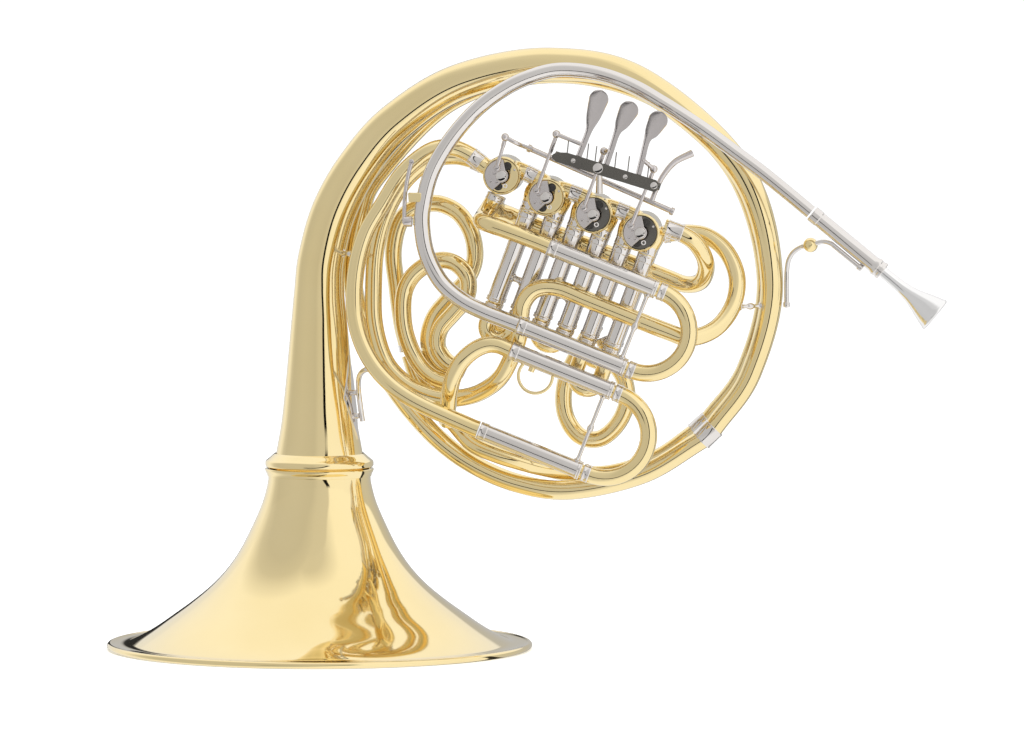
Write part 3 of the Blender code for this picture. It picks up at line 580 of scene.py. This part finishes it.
# For each valve: angle and radius of the pin on its stop arm, and the ball that its link rod goes to
PINS = [(math.radians(115), 6.8, THUMB_BALL)] + [(math.radians(140), 8.2, ball) for ball in KEY_BALLS]
CASING_RADIUS = 13.8
# Height of the bearing plate's face in front of the valve's middle
PLATE_FACE = 35.2
KNURLS = 96


def valve_centre(index, depth=0.0):
    x, z = VALVES[index]
    return Vector((x, depth, z))


def build_casing(index):
    """Casing with its front bearing plate in a rim, and a domed, knurled back cap."""
    tag = TAGS[index]
    centre = valve_centre(index)
    groove = CASING_RADIUS - 0.3
    shell = [(12.6, -34), (13.2, -34), (CASING_RADIUS, -33.5), (CASING_RADIUS, -30.4), (groove, -30),
             (groove, -28.6), (CASING_RADIUS, -28.2), (CASING_RADIUS, 9.4), (groove, 9.8), (groove, 10.4),
             (13.1, 10.8), (12.6, 10.8)]
    turned(f"{tag}_valve_casing_shell", shell, centre, BACK, BRASS, "corpus", [f"{tag}_valve_casing"], 64)
    build = bmesh.new()
    cap = [(0, 15.9), (3, 15.7), (3.4, 15.2), (3.6, 14.7), (8.5, 14.3), (11.5, 13.6), (13.2, 12.9),
           (CASING_RADIUS, 12.4), (CASING_RADIUS, 11.2), (13.2, 10.9), (0, 10.9)]
    spun(build, cap, centre, BACK, KNURLS)
    for vert in build.verts:
        local = vert.co - centre
        if 11.0 < local.y < 12.6:
            radial = Vector((local.x, 0, local.z))
            number = round(math.atan2(radial.z, radial.x) / (math.tau / KNURLS))
            vert.co -= radial.normalized() * (0.25 if number % 2 else 0)
    piece(f"{tag}_back_cap", build, BRASS)
    plate = [(3.4, -33.9), (3.4, -35), (3.9, -35.3), (11.8, -35.3), (12, -35.1), (12, -33.9)]
    # The plates of the second and third valves are dark as painted shade; the plates of the change and first
    # valves stay brass.
    turned(f"{tag}_bearing_plate", plate, centre, BACK, BRASS if index < 2 else DARK_STEEL_AND_SHADE, "corpus", (), 64)
    rim = [
        (12.1, -33.9), (12.1, -35.3), (12.5, -35.6), (13, -35.6), (13.3, -35.2), (13.3, -34.1), (12.9, -33.9)]
    turned(f"{tag}_bearing_rim", rim, centre, BACK, BRASS, "corpus", (), 64)


def build_stop(index):
    """Round corks and the screws on the bearing plate, under the sweep of the stop arm."""
    tag = TAGS[index]
    centre = valve_centre(index)
    for number, angle in enumerate((math.radians(60), math.radians(251))):
        build = bmesh.new()
        disc(build, 3, PLATE_FACE, 37.1, 0.4, centre + polar(angle, 8), FRONT, 28)
        piece(f"{tag}_cork_{number}", build, CORK)
    build = bmesh.new()
    washer = [(1, PLATE_FACE), (1, 36.9), (1.4, 37.1), (1.8, 36.9), (1.9, 36.4), (1.9, PLATE_FACE)]
    spun(build, washer, centre + polar(math.radians(288), 7.6), FRONT, 20, True)
    disc(build, 0.9, PLATE_FACE, 36, 0.25, centre + polar(math.radians(25), 10.2), FRONT, 14)
    piece(f"{tag}_plate_screws", build, NICKEL)


def build_rotor(index):
    """Rotor body with its stem, the crescent stop arm with its pin, and the slotted centre screw."""
    tag = TAGS[index]
    centre = valve_centre(index)
    build = bmesh.new()
    rotor = [
        (0, 9.2), (12, 9.2), (12.1, 9), (12.1, -30.4), (12, -30.6), (3, -30.6), (3, -40.4), (2.7, -40.6),
        (0, -40.6)]
    spun(build, rotor, centre, BACK, 40)
    piece(f"{tag}_rotor_body", build, NICKEL, f"{tag}_rotor", [f"{tag}_valve_rotor"])
    build = bmesh.new()
    first, last = math.radians(84), math.radians(238)
    arm = arc(12, first, last, 24) + arc(4.9, last + 0.5, first + math.tau - 0.5, 12)
    prism(build, arm, centre + FRONT * 38.8, RIGHT, UP, -1.2, 1, 0.35)
    for angle, out in ((205, 8.4), (160, 5.6), (232, 5.4)):
        disc(build, 1.25, 39.4, 40.2, 0.3, centre + polar(math.radians(angle), out), FRONT, 16)
    pin = centre + polar(*PINS[index][:2])
    disc(build, 2, 39.6, 43.4, 0.3, pin, FRONT, 20)
    piece(f"{tag}_crescent_arm", build, SATIN, f"{tag}_rotor", [f"{tag}_stop_arm"])
    build = bmesh.new()
    disc(build, 4, 39.9, 41.7, 0.55, centre, FRONT, 32)
    screw_slot = [(-3.4, -0.45), (3.4, -0.45), (3.4, 0.45), (-3.4, 0.45)]
    prism(build, screw_slot, centre + FRONT * 41.75, ROW_ALONG, ROW_ACROSS, -0.12, 0.06, 0.05)
    piece(f"{tag}_centre_screw", build, NICKEL, f"{tag}_rotor")


def build_link(index):
    """Link rod with an eye at each end, from the pin of the stop arm to the lever's ball."""
    tag = TAGS[index]
    angle, radius, far = PINS[index]
    pin = valve_centre(index) + polar(angle, radius)
    near = Vector((pin.x, LINK_DEPTH, pin.z))
    eye = [(0, 1.5), (1.2, 1.6), (2, 1.3), (2.3, 0.8), (2.3, -0.8), (2, -1.3), (1.2, -1.6), (0, -1.5)]
    shape = ((0, 1.25), (0.1, 1.5), (0.3, 1.5), (0.34, 1.25), (0.66, 1.2), (0.7, 1.5), (0.9, 1.5), (1, 1.25))
    build = bmesh.new()
    for end in (near, far):
        spun(build, eye, end, FRONT, 24)
    sweep(build, [(near.lerp(far, share), thick) for share, thick in shape], 16)
    piece(f"{tag}_link_bar", build, SATIN, f"{tag}_link", [f"{tag}_link_rod"])


def clear_of_casings(rings, centres, radius):
    """Moves the vertices of a tube that lie inside a casing out to its face."""
    for vert in (v for ring in rings for v in ring):
        for centre in centres:
            flat = Vector((vert.co.x - centre.x, 0, vert.co.z - centre.z))
            if flat.length < radius:
                vert.co += flat.normalized() * (radius - flat.length)


def build_passages():
    """The short tubes between neighbouring casings, each with a band round its middle."""
    build = bmesh.new()
    bands = bmesh.new()
    for index in range(1, 4):
        left, right = valve_centre(index - 1, FIRST_LAYER), valve_centre(index, FIRST_LAYER)
        along = (right - left).normalized()
        lift = Vector((-along.z, 0, along.x)) * 7.5
        half = (right - left).length / 2
        middle = left + lift + along * half
        arch = [(middle + along * t * half + lift.normalized() * (0.9 - 2.6 * t ** 4), 6) for t in
                (-0.9, -0.8, -0.7, -0.6, -0.45, -0.3, 0, 0.3, 0.45, 0.6, 0.7, 0.8, 0.9)]
        clear_of_casings(sweep(build, arch, 28), (left, right), 13.3)
        collar(bands, middle + lift.normalized() * 0.9, along, 6, 4.4, 0.3)
    piece("valve_passage_tubes", build, BRASS, "corpus", [f"{tag}_valve_passage" for tag in TAGS[1:]])
    piece("valve_passage_bands", bands, NICKEL)


def build_knuckles():
    """Knuckles with a band each, that carry the valve slides into the casings."""
    build = bmesh.new()
    bands = bmesh.new()
    # Rise above the foot, swing outward and radius along a knuckle
    stations = ((5.8, -1, 1.5), (5.4, -0.6, 2.8), (4.6, 0, 4.1), (3.4, 0.7, 5.2), (1.8, 1.2, 5.9),
                (0, 1.4, 6.25), (-2, 1.3, 6.35), (-4, 1, 6.35), (-6, 0.6, 6.35),
                (-8, 0.25, 6.35),
                (-10, 0.05, 6.35), (-12.5, 0, 6.35), (-15.4, 0, 6.35))
    for index in (1, 2, 3):
        for depth in (FIRST_LAYER, SECOND_LAYER):
            for sign in (1, -1):
                foot = valve_centre(index, depth) + ROW_ALONG * 9.3 * sign
                outward = ROW_ALONG * sign
                shoulder = [(foot + ROW_ACROSS * rise + outward * swing, radius)
                            for rise, swing, radius in stations]
                clear_of_casings(sweep(build, shoulder, 28), (valve_centre(index),), 13.2)
                collar(bands, foot - ROW_ACROSS * 11, ROW_ACROSS, 6.3, 3.1, 0.25)
    piece("slide_knuckles", build, BRASS)
    piece("slide_knuckle_bands", bands, NICKEL)


def build_ferrules():
    """Ferrules where the loops of tubing begin and end: distance from the route's end, and half length."""
    build = bmesh.new()
    ends = [(CHANGE_LOOP, 0, 8.5, 4.6), (SECOND_LOOP, 0, 7.5, 4), (INNER_RIGHT, 0, 8, 6.2),
            (OUTER_RIGHT, 0, 2.6, 2.4), (CROSSOVER_END, -1, 2.6, 2.4), (INNER_RIGHT, -1, 2.6, 2.4),
            (OUTER_RIGHT, -1, 2.6, 2.4)]
    ends += [(route, end, 2, 2.6) for route in (UPPER_CURL, LOWER_CURL, LOWER_LOOP) for end in (0, -1)]
    for route, end, reach, half in ends:
        start = Vector(route[end])
        step = Vector(route[1 if end == 0 else -2]) - start
        collar(build, start + step.normalized() * reach, step, TUBE_RADIUS, half, 0.3)
    piece("tube_ferrules", build, NICKEL)


def build_valves():
    for index in range(4):
        build_casing(index)
        build_stop(index)
        build_rotor(index)
        build_link(index)
    build_passages()
    build_knuckles()
    build_ferrules()


# ==== Keys

AXLE = (Vector((177, -58, 360.6)), Vector((246, -58, 339.5)))
AXLE_ALONG = (AXLE[1] - AXLE[0]).normalized()
KEY_HUBS = [0.20, 0.49, 0.83]
KEY_FACE = -61.4
KEY_TAILS = [(200, 380), (220, 378), (241.5, 372.5)]
KEY_TIPS = [(207, 402), (228.5, 394), (249.5, 387)]
TIP_RADIUS = 7.0
SADDLE_FOOT = Vector((205.6, -31, 333.8))
# From the axle back to the bar of the saddle
SADDLE_BACK = Vector((0, 22, 0))


def build_lever(number):
    """A finger lever: hub tube, tapering arm, dished teardrop touch plate, cross rod with its ball."""
    name = f"finger_lever_{number + 1}"
    hub = AXLE[0].lerp(AXLE[1], KEY_HUBS[number])
    flat_hub, tail, tip = [Vector((x, KEY_FACE, z)) for x, z in
                           ((hub.x, hub.z), KEY_TAILS[number], KEY_TIPS[number])]
    build = bmesh.new()
    arm_line = [flat_hub, flat_hub.lerp(tail, 0.5), tail, tail.lerp(tip, 0.45), tip]
    widths = [2.1, 2.2, 2.5, 5.2, TIP_RADIUS]
    line = smooth_route([Vector((*p, w)) for p, w in zip(arm_line, widths)], 1.2)
    end_dir = (line[-1][0] - line[-3][0]).normalized()
    count = 14
    for k in range(1, count + 1):
        t = k / count
        line.append((tip + end_dir * TIP_RADIUS * math.sin(t * math.pi / 2),
                     TIP_RADIUS * max(math.cos(t * math.pi / 2), 0.06)))
    # Share of the half width and height above the middle, round one section
    section = ((-1, 0), (-0.94, 0.85), (-0.6, 0.62), (0, 0.5), (0.6, 0.62), (0.94, 0.85), (1, 0),
               (0.9, -0.9), (0, -1), (-0.9, -0.9))
    rows = []
    for index, (place, half) in enumerate(line):
        ahead = line[min(index + 1, len(line) - 1)][0] - line[max(index - 1, 0)][0]
        side = ahead.cross(FRONT).normalized()
        rows.append([build.verts.new(place + side * half * share + FRONT * lift) for share, lift in section])
    skin(build, rows)
    spun(build,
         [(2, 4), (3.4, 4), (3.7, 3.6), (3.7, 2.9), (3.3, 2.6), (3.3, -2.6), (3.7, -2.9), (3.7, -3.6),
                 (3.4, -4), (2, -4)], hub, AXLE_ALONG, 32, True)
    knob = Vector((KEY_BALLS[number].x, -53.4, KEY_BALLS[number].z))
    root = flat_hub.lerp(tail, 0.55)
    sweep(build, [(root, 1.6), (root.lerp(knob, 0.5), 1.35), (knob, 1.6)], 14)
    spun(build, ball_profile(2.8, 14), knob, UP, 24)
    disc(build, 1.7, 0, 4.8, 0.3, knob, BACK, 16)
    piece(name + "_shaped", build, SATIN, name, [name], 42)


def build_saddle():
    """Bar and axle of the key saddle, its posts, and the springs beside the hubs."""
    along, back = AXLE_ALONG, SADDLE_BACK
    build = bmesh.new()
    sweep(build, [(AXLE[0] + back - along * 3, 2.6), (AXLE[1] + back + along * 4, 2.6)], 20)
    axle_ends = (AXLE[0] - along * 1.4, AXLE[1] + along * 1.4)
    sweep(build, [(end, 1.3) for end in axle_ends], 18)
    for share in (0.045, 0.66):
        place = AXLE[0].lerp(AXLE[1], share)
        post = [(place + back * t, radius) for t,
                radius in ((0, 1.9), (0.15, 1.6), (0.85, 1.6), (1, 2.2))]
        sweep(build, post, 16)
        disc(build, 3, -2, 2, 0.5, place, along, 24)
    for end in axle_ends:
        disc(build, 2.7, -1, 1, 0.4, end, along, 20)
        sweep(build, [(end, 2.2), (end + FRONT * 6.6, 2.2)], 16)
    piece("key_saddle_frame", build, DARK_STEEL_AND_SHADE, "corpus", ["key_saddle"])
    build = bmesh.new()
    for share in KEY_HUBS:
        for shift in (-7.4, 7.4):
            base = AXLE[0].lerp(AXLE[1], share) + along * shift
            wire = routed([base, base + Vector((0.6, 1.5, 7)), base + Vector((1.6, 2, 16))], 0.4)
            sweep(build, smooth_route(wire, 1.5), 8)
    piece("lever_springs", build, DARK_STEEL_AND_SHADE)


def build_strip():
    """The strip in front of the hubs with its screws, and the post that carries the saddle."""
    along, back = AXLE_ALONG, SADDLE_BACK
    build = bmesh.new()
    across = along.cross(FRONT).normalized()
    middle = (AXLE[0] + AXLE[1]) / 2 + FRONT * 6.2
    strip = [
        (-37, -3.4), (-30, -5.4), (37, -5.4), (39.6, -3.6), (39.6, 2), (38, 3.2), (-36, 3.2), (-39, 1),
        (-39, -1.6)]
    prism(build, strip, middle, along, across, -0.7, 0.7, 0.25)
    piece("saddle_strip", build, DARK_STEEL_AND_SHADE)
    build = bmesh.new()
    for shift, radius in ((-24, 1.7), (-5.5, 3.7), (15, 1.7), (36.5, 2.6)):
        disc(build, radius, 0.4, 1.9, 0.4, middle + along * shift - across * 1.2, FRONT, 24)
    foot = AXLE[0].lerp(AXLE[1], 0.42) + back
    sweep(build, [(foot, 2.9), (foot.lerp(SADDLE_FOOT, 0.2), 2.2), (SADDLE_FOOT, 2.6)], 18)
    piece("saddle_screws", build, NICKEL)


def build_thumb_lever():
    """The long rod of the thumb lever with its touch wire and the bent arm to its ball."""
    build = bmesh.new()
    start, end = Vector((155, -28, 365.5)), Vector((258, -28, 320.4))
    sweep(build, [(start, 2), (end, 2)], 20)
    wire_line = [(243, -28, 327.2), (247, -27, 337.5), (252, -24, 347), (260, -20, 356), (272, -16, 362)]
    touch = smooth_route(routed(wire_line), 1.5)
    sweep(build, [(place, 1.8 + 0.9 * (k / len(touch)) ** 2) for k, (place, _) in enumerate(touch)], 18)
    arm = [(157, -28, 364.7), (152, -42, 367.5), (147, -50.4, 370.2), (139, -50.4, 374.4)]
    sweep(build, smooth_route(routed(arm, 1.5), 1.5), 14)
    spun(build, ball_profile(2.8, 14), arm[-1], UP, 24)
    axis = (end - start).normalized()
    for place in (start, end):
        disc(build, 2.8, -1.4, 1.4, 0.5, place, axis, 20)
    piece("thumb_lever_shaped", build, SATIN, "thumb_lever", ["thumb_lever"])


def build_keys():
    for number in range(3):
        build_lever(number)
    build_saddle()
    build_strip()
    build_thumb_lever()


# ==== Mouthpiece end and fittings

RECEIVER_END = Vector((409.8, -26, 277.3))
RECEIVER_AXIS = Vector((51, 0, -42)).normalized()


def build_mouthpiece():
    """The receiver with its collar, and the mouthpiece with its cup and open throat."""
    receiver = [
        (5.2, -66), (5.2, -65.6), (4.9, -20), (4.7, -6), (4.6, -0.4), (4.9, 0), (6.2, 0), (6.6, -0.5),
        (6.6, -2.2), (6.1, -2.8), (6.1, -4.4), (6.6, -5), (6.6, -6.4), (6, -7.4), (5.7, -9), (5.6, -40),
        (5.5, -59), (5.9, -59.6), (5.9, -65.4), (5.5, -66)]
    turned("mouthpiece_receiver_turned", receiver, RECEIVER_END, RECEIVER_AXIS, NICKEL, "corpus",
           ["mouthpiece_receiver"])
    cup = [
        (12, 49.5), (12.7, 49.2), (13.05, 48.5), (13.05, 47.6), (12.7, 46.8), (12.2, 46.2), (11.9, 44.6),
        (11, 41.5), (9.7, 37.6), (8.2, 33.6), (6.8, 29.4), (5.8, 25.5), (5.1, 21), (4.6, 17), (4.35, 12),
        (4.2, 6), (3.9, -18), (2.3, -18), (2.2, 20), (2.6, 24), (4.2, 30.5), (6.4, 37), (8.2, 43),
        (9.1, 46.6), (9.7, 48.4), (10.6, 49.3), (11.4, 49.6)]
    turned("mouthpiece_turned", cup, RECEIVER_END, RECEIVER_AXIS, SILVER, "mouthpiece", ["mouthpiece"], 72,
           40)


def stem_radius(height):
    """Radius of the bell stem at a height, between the given stations."""
    for (low, wide), (high, narrow) in zip(STEM, STEM[1:]):
        if height <= high:
            return wide + (narrow - wide) * (height - low) / (high - low)
    return STEM[-1][1]


def stem_diamond(build, angle, middle, half_high, half_wide):
    """A long diamond plate bent round the stem under the guard hook."""
    rows, columns = 24, 8
    grid = []
    for lift in (0.8, -0.2):
        face = []
        for k in range(rows + 1):
            share = 2 * k / rows - 1
            height = middle + half_high * share
            radius = stem_radius(height) + lift
            reach = max(half_wide * (1 - abs(share)), 0.4) / radius
            turns = [angle + reach * (2 * m / columns - 1) for m in range(columns + 1)]
            spots = [(radius * math.cos(a), radius * math.sin(a), height) for a in turns]
            face.append([build.verts.new(spot) for spot in spots])
        grid.append(face)
    outer, inner = grid
    for k in range(rows):
        for m in range(columns):
            build.faces.new((outer[k][m], outer[k][m + 1], outer[k + 1][m + 1], outer[k + 1][m]))
            build.faces.new((inner[k][m], inner[k + 1][m], inner[k + 1][m + 1], inner[k][m + 1]))
        for m in (0, columns):
            build.faces.new((outer[k][m], outer[k + 1][m], inner[k + 1][m], inner[k][m]))
    for k in (0, rows):
        for m in range(columns):
            build.faces.new((outer[k][m], inner[k][m], inner[k][m + 1], outer[k][m + 1]))


def build_small_fittings():
    """Finger ring, guard plate with its hook, water key seat and the little braces between the tubes."""
    build = bmesh.new()
    ring = [(12.3 + p[0], p[1]) for p in arc(1.15, 0, math.tau, 12)[:-1]]
    spun(build, ring, (160.8, -50, 202.4), FRONT, 56, True)
    disc(build, 2.3, -2.6, 1, 0.5, (158.4, -50, 208), (0.37, 0, 0.93), 20)
    piece("finger_ring", build, BRASS)
    build = bmesh.new()
    hook = [
        (41.7, -40, 205.6), (36.2, -34, 205.2), (31.4, -24, 200), (29.8, -14, 190.2), (30.6, -8, 177.6),
        (32, -6, 166.3)]
    sweep(build, smooth_route(routed(hook, 1.9), 1.2), 16)
    stem_diamond(build, math.radians(-15), 183.5, 30.5, 11.5)
    outward = (math.cos(-0.26), math.sin(-0.26), 0)
    for height in (170, 187):
        disc(build, 2, 24, 30.5, 0.4, (0, 0, height), outward, 18)
    piece("guard_hook", build, NICKEL)
    build = bmesh.new()
    for start, end in (((17.6, -8, 288.5), (30, -29, 288.5)),
                       ((306.5, -12, 251), (320.8, -3, 251)),
                       ((176, -25.5, 422.4), (176, -11.5, 423.5)),
                       ((140.6, 13.4, 415.5), (140.6, 5, 418.5))):
        start, end = Vector(start), Vector(end)
        turned_brace(build, (start + end) / 2, end - start, (end - start).length / 2)
    piece("tube_braces", build, NICKEL)
    build = bmesh.new()
    seat = [
        (-4.2, -3.4), (4.2, -3.4), (4.8, -2.8), (4.8, 2.8), (4.2, 3.4), (-4.2, 3.4), (-4.8, 2.8),
        (-4.8, -2.8)]
    prism(build, seat, (74.3, -53, 331), RIGHT, Vector((-0.1, 0, 1)).normalized(), -2.4, 2.4, 0.5)
    disc(build, 2.8, 0, 6.5, 0.5, (72.6, -50, 313.5), RIGHT, 24)
    piece("water_key_seat", build, BRASS)


def build_fittings():
    """The brace with its ball at the receiver, and the water key."""
    path = [
        (339.7, -2, 250), (340, -4, 277), (343, -8, 288), (350, -13, 294), (357.5, -18, 296),
        (366, -22, 298.6), (372, -25, 297.6), (376.1, -26, 294.6), (394.9, -26, 279.1)]
    build = bmesh.new()
    sweep(build, smooth_route(routed(path, 1.7), 1.2), 18)
    for place, axis in (((339.7, -2, 252), UP), ((393.4, -26, 280.3), (18.8, 0, -15.5))):
        disc(build, 2.4, -1.8, 1.8, 0.6, place, axis, 24)
    piece("ball_brace_strip", build, NICKEL, "corpus", ["ball_brace"])
    turned("brace_ball", ball_profile(5.3, 18), (357.5, -18, 296), UP, BRASS, "corpus", (), 36)
    build = bmesh.new()
    lever = [(71.5, -49, 357), (68.6, -49, 345), (66.6, -49, 331), (66, -49, 312)]
    sweep(build, smooth_route(routed(lever, 1.5), 1.5), 16)
    disc(build, 3.9, 0, 6.4, 0.8, (65.5, -49, 313.5), RIGHT, 28)
    disc(build, 1.9, -1.2, 1.2, 0.6, (71.4, -49.6, 356.6), FRONT, 24)
    piece("water_key_lever", build, SATIN, "water_key", ["water_key"])


# ==== Studio

def floor_material():
    mat, tree, shader = shaded("studio_floor")
    fill(shader, Roughness=0.85, Specular_IOR_Level=0.1, Emission_Color=(1, 1, 1, 1), Emission_Strength=0.22)
    place = node(tree, "ShaderNodeTexCoord")
    paper = node(tree, "ShaderNodeTexNoise", Scale=3.0, Detail=4.0)
    wire(place, "Object", paper, "Vector")
    mix = node(tree, "ShaderNodeMix", data_type="RGBA")
    fill(mix, A=(0.97, 0.97, 0.97, 1), B=(0.99, 0.99, 0.99, 1))
    wire(paper, "Fac", mix, "Factor")
    wire(mix, "Result", shader, "Base Color")
    return mat


def build_floor():
    """A wide pale floor just under the bell rim."""
    build = bmesh.new()
    bmesh.ops.create_grid(build, x_segments=2, y_segments=2, size=60)
    mesh = bpy.data.meshes.new("studio_floor")
    build.to_mesh(mesh)
    build.free()
    mesh.materials.append(floor_material())
    ground = bpy.data.objects.new("studio_floor", mesh)
    ground.location = (0, 0, -0.0002)
    ground.visible_glossy = False
    bpy.context.scene.collection.objects.link(ground)


def build_tent():
    """A white tent all round, whose dark seams and grey panels give the tubes their lines."""
    tent = bpy.data.worlds.new("white_tent")
    tent.use_nodes = True
    tree = tent.node_tree
    back = tree.nodes["Background"]
    place = node(tree, "ShaderNodeTexCoord")

    def facing(aim, stops):
        """Brightness as steps of the angle from one direction; stops are (degrees, value)."""
        dot = node(tree, "ShaderNodeVectorMath", operation="DOT_PRODUCT")
        dot.inputs[1].default_value = Vector(aim).normalized()
        tree.links.new(place.outputs["Generated"], dot.inputs[0])
        angle = node(tree, "ShaderNodeMath", operation="ARCCOSINE")
        tree.links.new(dot.outputs["Value"], angle.inputs[0])
        span = node(tree, "ShaderNodeMapRange")
        fill(span, From_Max=math.pi)
        wire(angle, "Value", span, "Value")
        ramp = node(tree, "ShaderNodeValToRGB")
        while len(ramp.color_ramp.elements) < len(stops):
            ramp.color_ramp.elements.new(0.5)
        for element, (spot, value) in zip(ramp.color_ramp.elements, stops):
            element.position = spot / 180
            element.color = (value, value, value, 1)
        wire(span, "Result", ramp, "Fac")
        return ramp.outputs["Color"]

    def combine(one, two, how):
        both = node(tree, "ShaderNodeMix", data_type="RGBA", blend_type=how)
        fill(both, Factor=1.0)
        tree.links.new(one, both.inputs["A"])
        tree.links.new(two, both.inputs["B"])
        return both.outputs["Result"]

    grey = facing((-0.80, -0.60, 0.10), ((0, 0.60), (44, 0.57), (56, 0.64), (74, 0.98), (180, 1.10)))
    panel = facing((-0.22, -0.903, 0.37), ((0, 0.62), (35, 0.66), (38.5, 1), (180, 1)))
    crown = facing((-0.15, -0.62, 0.78), ((0, 0.66), (16, 0.68), (34, 1), (180, 1)))
    seam = facing((-0.22, -0.903, 0.37), ((0, 1), (33.2, 1), (33.6, 0), (40.2, 0), (40.6, 1), (180, 1)))
    above = facing((0, 0, 1), ((0, 1), (72, 1), (77, 0), (180, 0)))
    left = facing((-0.9, -0.3, 0.3), ((0, 1), (50, 1), (56, 0), (180, 0)))
    rear = facing((0.5, 0.86, 0.1), ((0, 0.58), (37, 0.60), (38, 0.03), (44, 0.03), (45, 0.95), (180, 1)))
    behind = facing((-0.08, 0.99, -0.08), ((0, 0.80), (20, 0.82), (42, 0.95), (60, 1), (180, 1)))
    seam = combine(combine(seam, above, "LIGHTEN"), left, "LIGHTEN")
    rear = combine(rear, above, "LIGHTEN")
    total = combine(combine(grey, panel, "DARKEN"), crown, "DARKEN")
    total = combine(combine(combine(total, seam, "MULTIPLY"), rear, "MULTIPLY"), behind, "MULTIPLY")
    tree.links.new(total, back.inputs["Color"])
    fill(back, Strength=1.08)
    bpy.context.scene.world = tent


def build_lamps():
    """Three soft lamps, aimed at the middle of the horn."""
    for name, spot, size, power in (("key_softbox", (1.6, -2.4, 2.2), 1.6, 30),
                                    ("fill_softbox", (-2.6, -1.6, 1.6), 1.8, 11),
                                    ("top_softbox", (0, 0.3, 3.2), 2.4, 25)):
        light = bpy.data.lights.new(name, "AREA")
        light.size = size
        light.energy = power
        lamp = bpy.data.objects.new(name, light)
        lamp.visible_glossy = False
        lamp.location = spot
        lamp.rotation_euler = (Vector((0, 0, 0.2)) - Vector(spot)).to_track_quat("-Z", "Y").to_euler()
        bpy.context.scene.collection.objects.link(lamp)


def build_camera():
    """Long lens, a little right of square-on and slightly above the middle of the horn."""
    centre = Vector((-0.0098, 0, 0.2064))
    turn, rise, distance = math.radians(4.0), math.radians(3.7), 6.0
    sensor, width_seen = 36, 0.7433
    data = bpy.data.cameras.new("photo_camera")
    data.sensor_width = sensor
    data.lens = sensor * distance / width_seen
    data.clip_end = 200
    camera = bpy.data.objects.new("photo_camera", data)
    away = Vector((math.sin(turn) * math.cos(rise), -math.cos(turn) * math.cos(rise), math.sin(rise)))
    camera.location = centre + away * distance
    camera.rotation_euler = (-away).to_track_quat("-Z", "Y").to_euler()
    bpy.context.scene.collection.objects.link(camera)
    bpy.context.scene.camera = camera
    bpy.context.scene.view_settings.view_transform = "Standard"


build_bell()
build_coil()
build_slides()
build_tubing()
build_valves()
build_keys()
build_mouthpiece()
build_fittings()
build_small_fittings()
build_floor()
build_tent()
build_lamps()
build_camera()
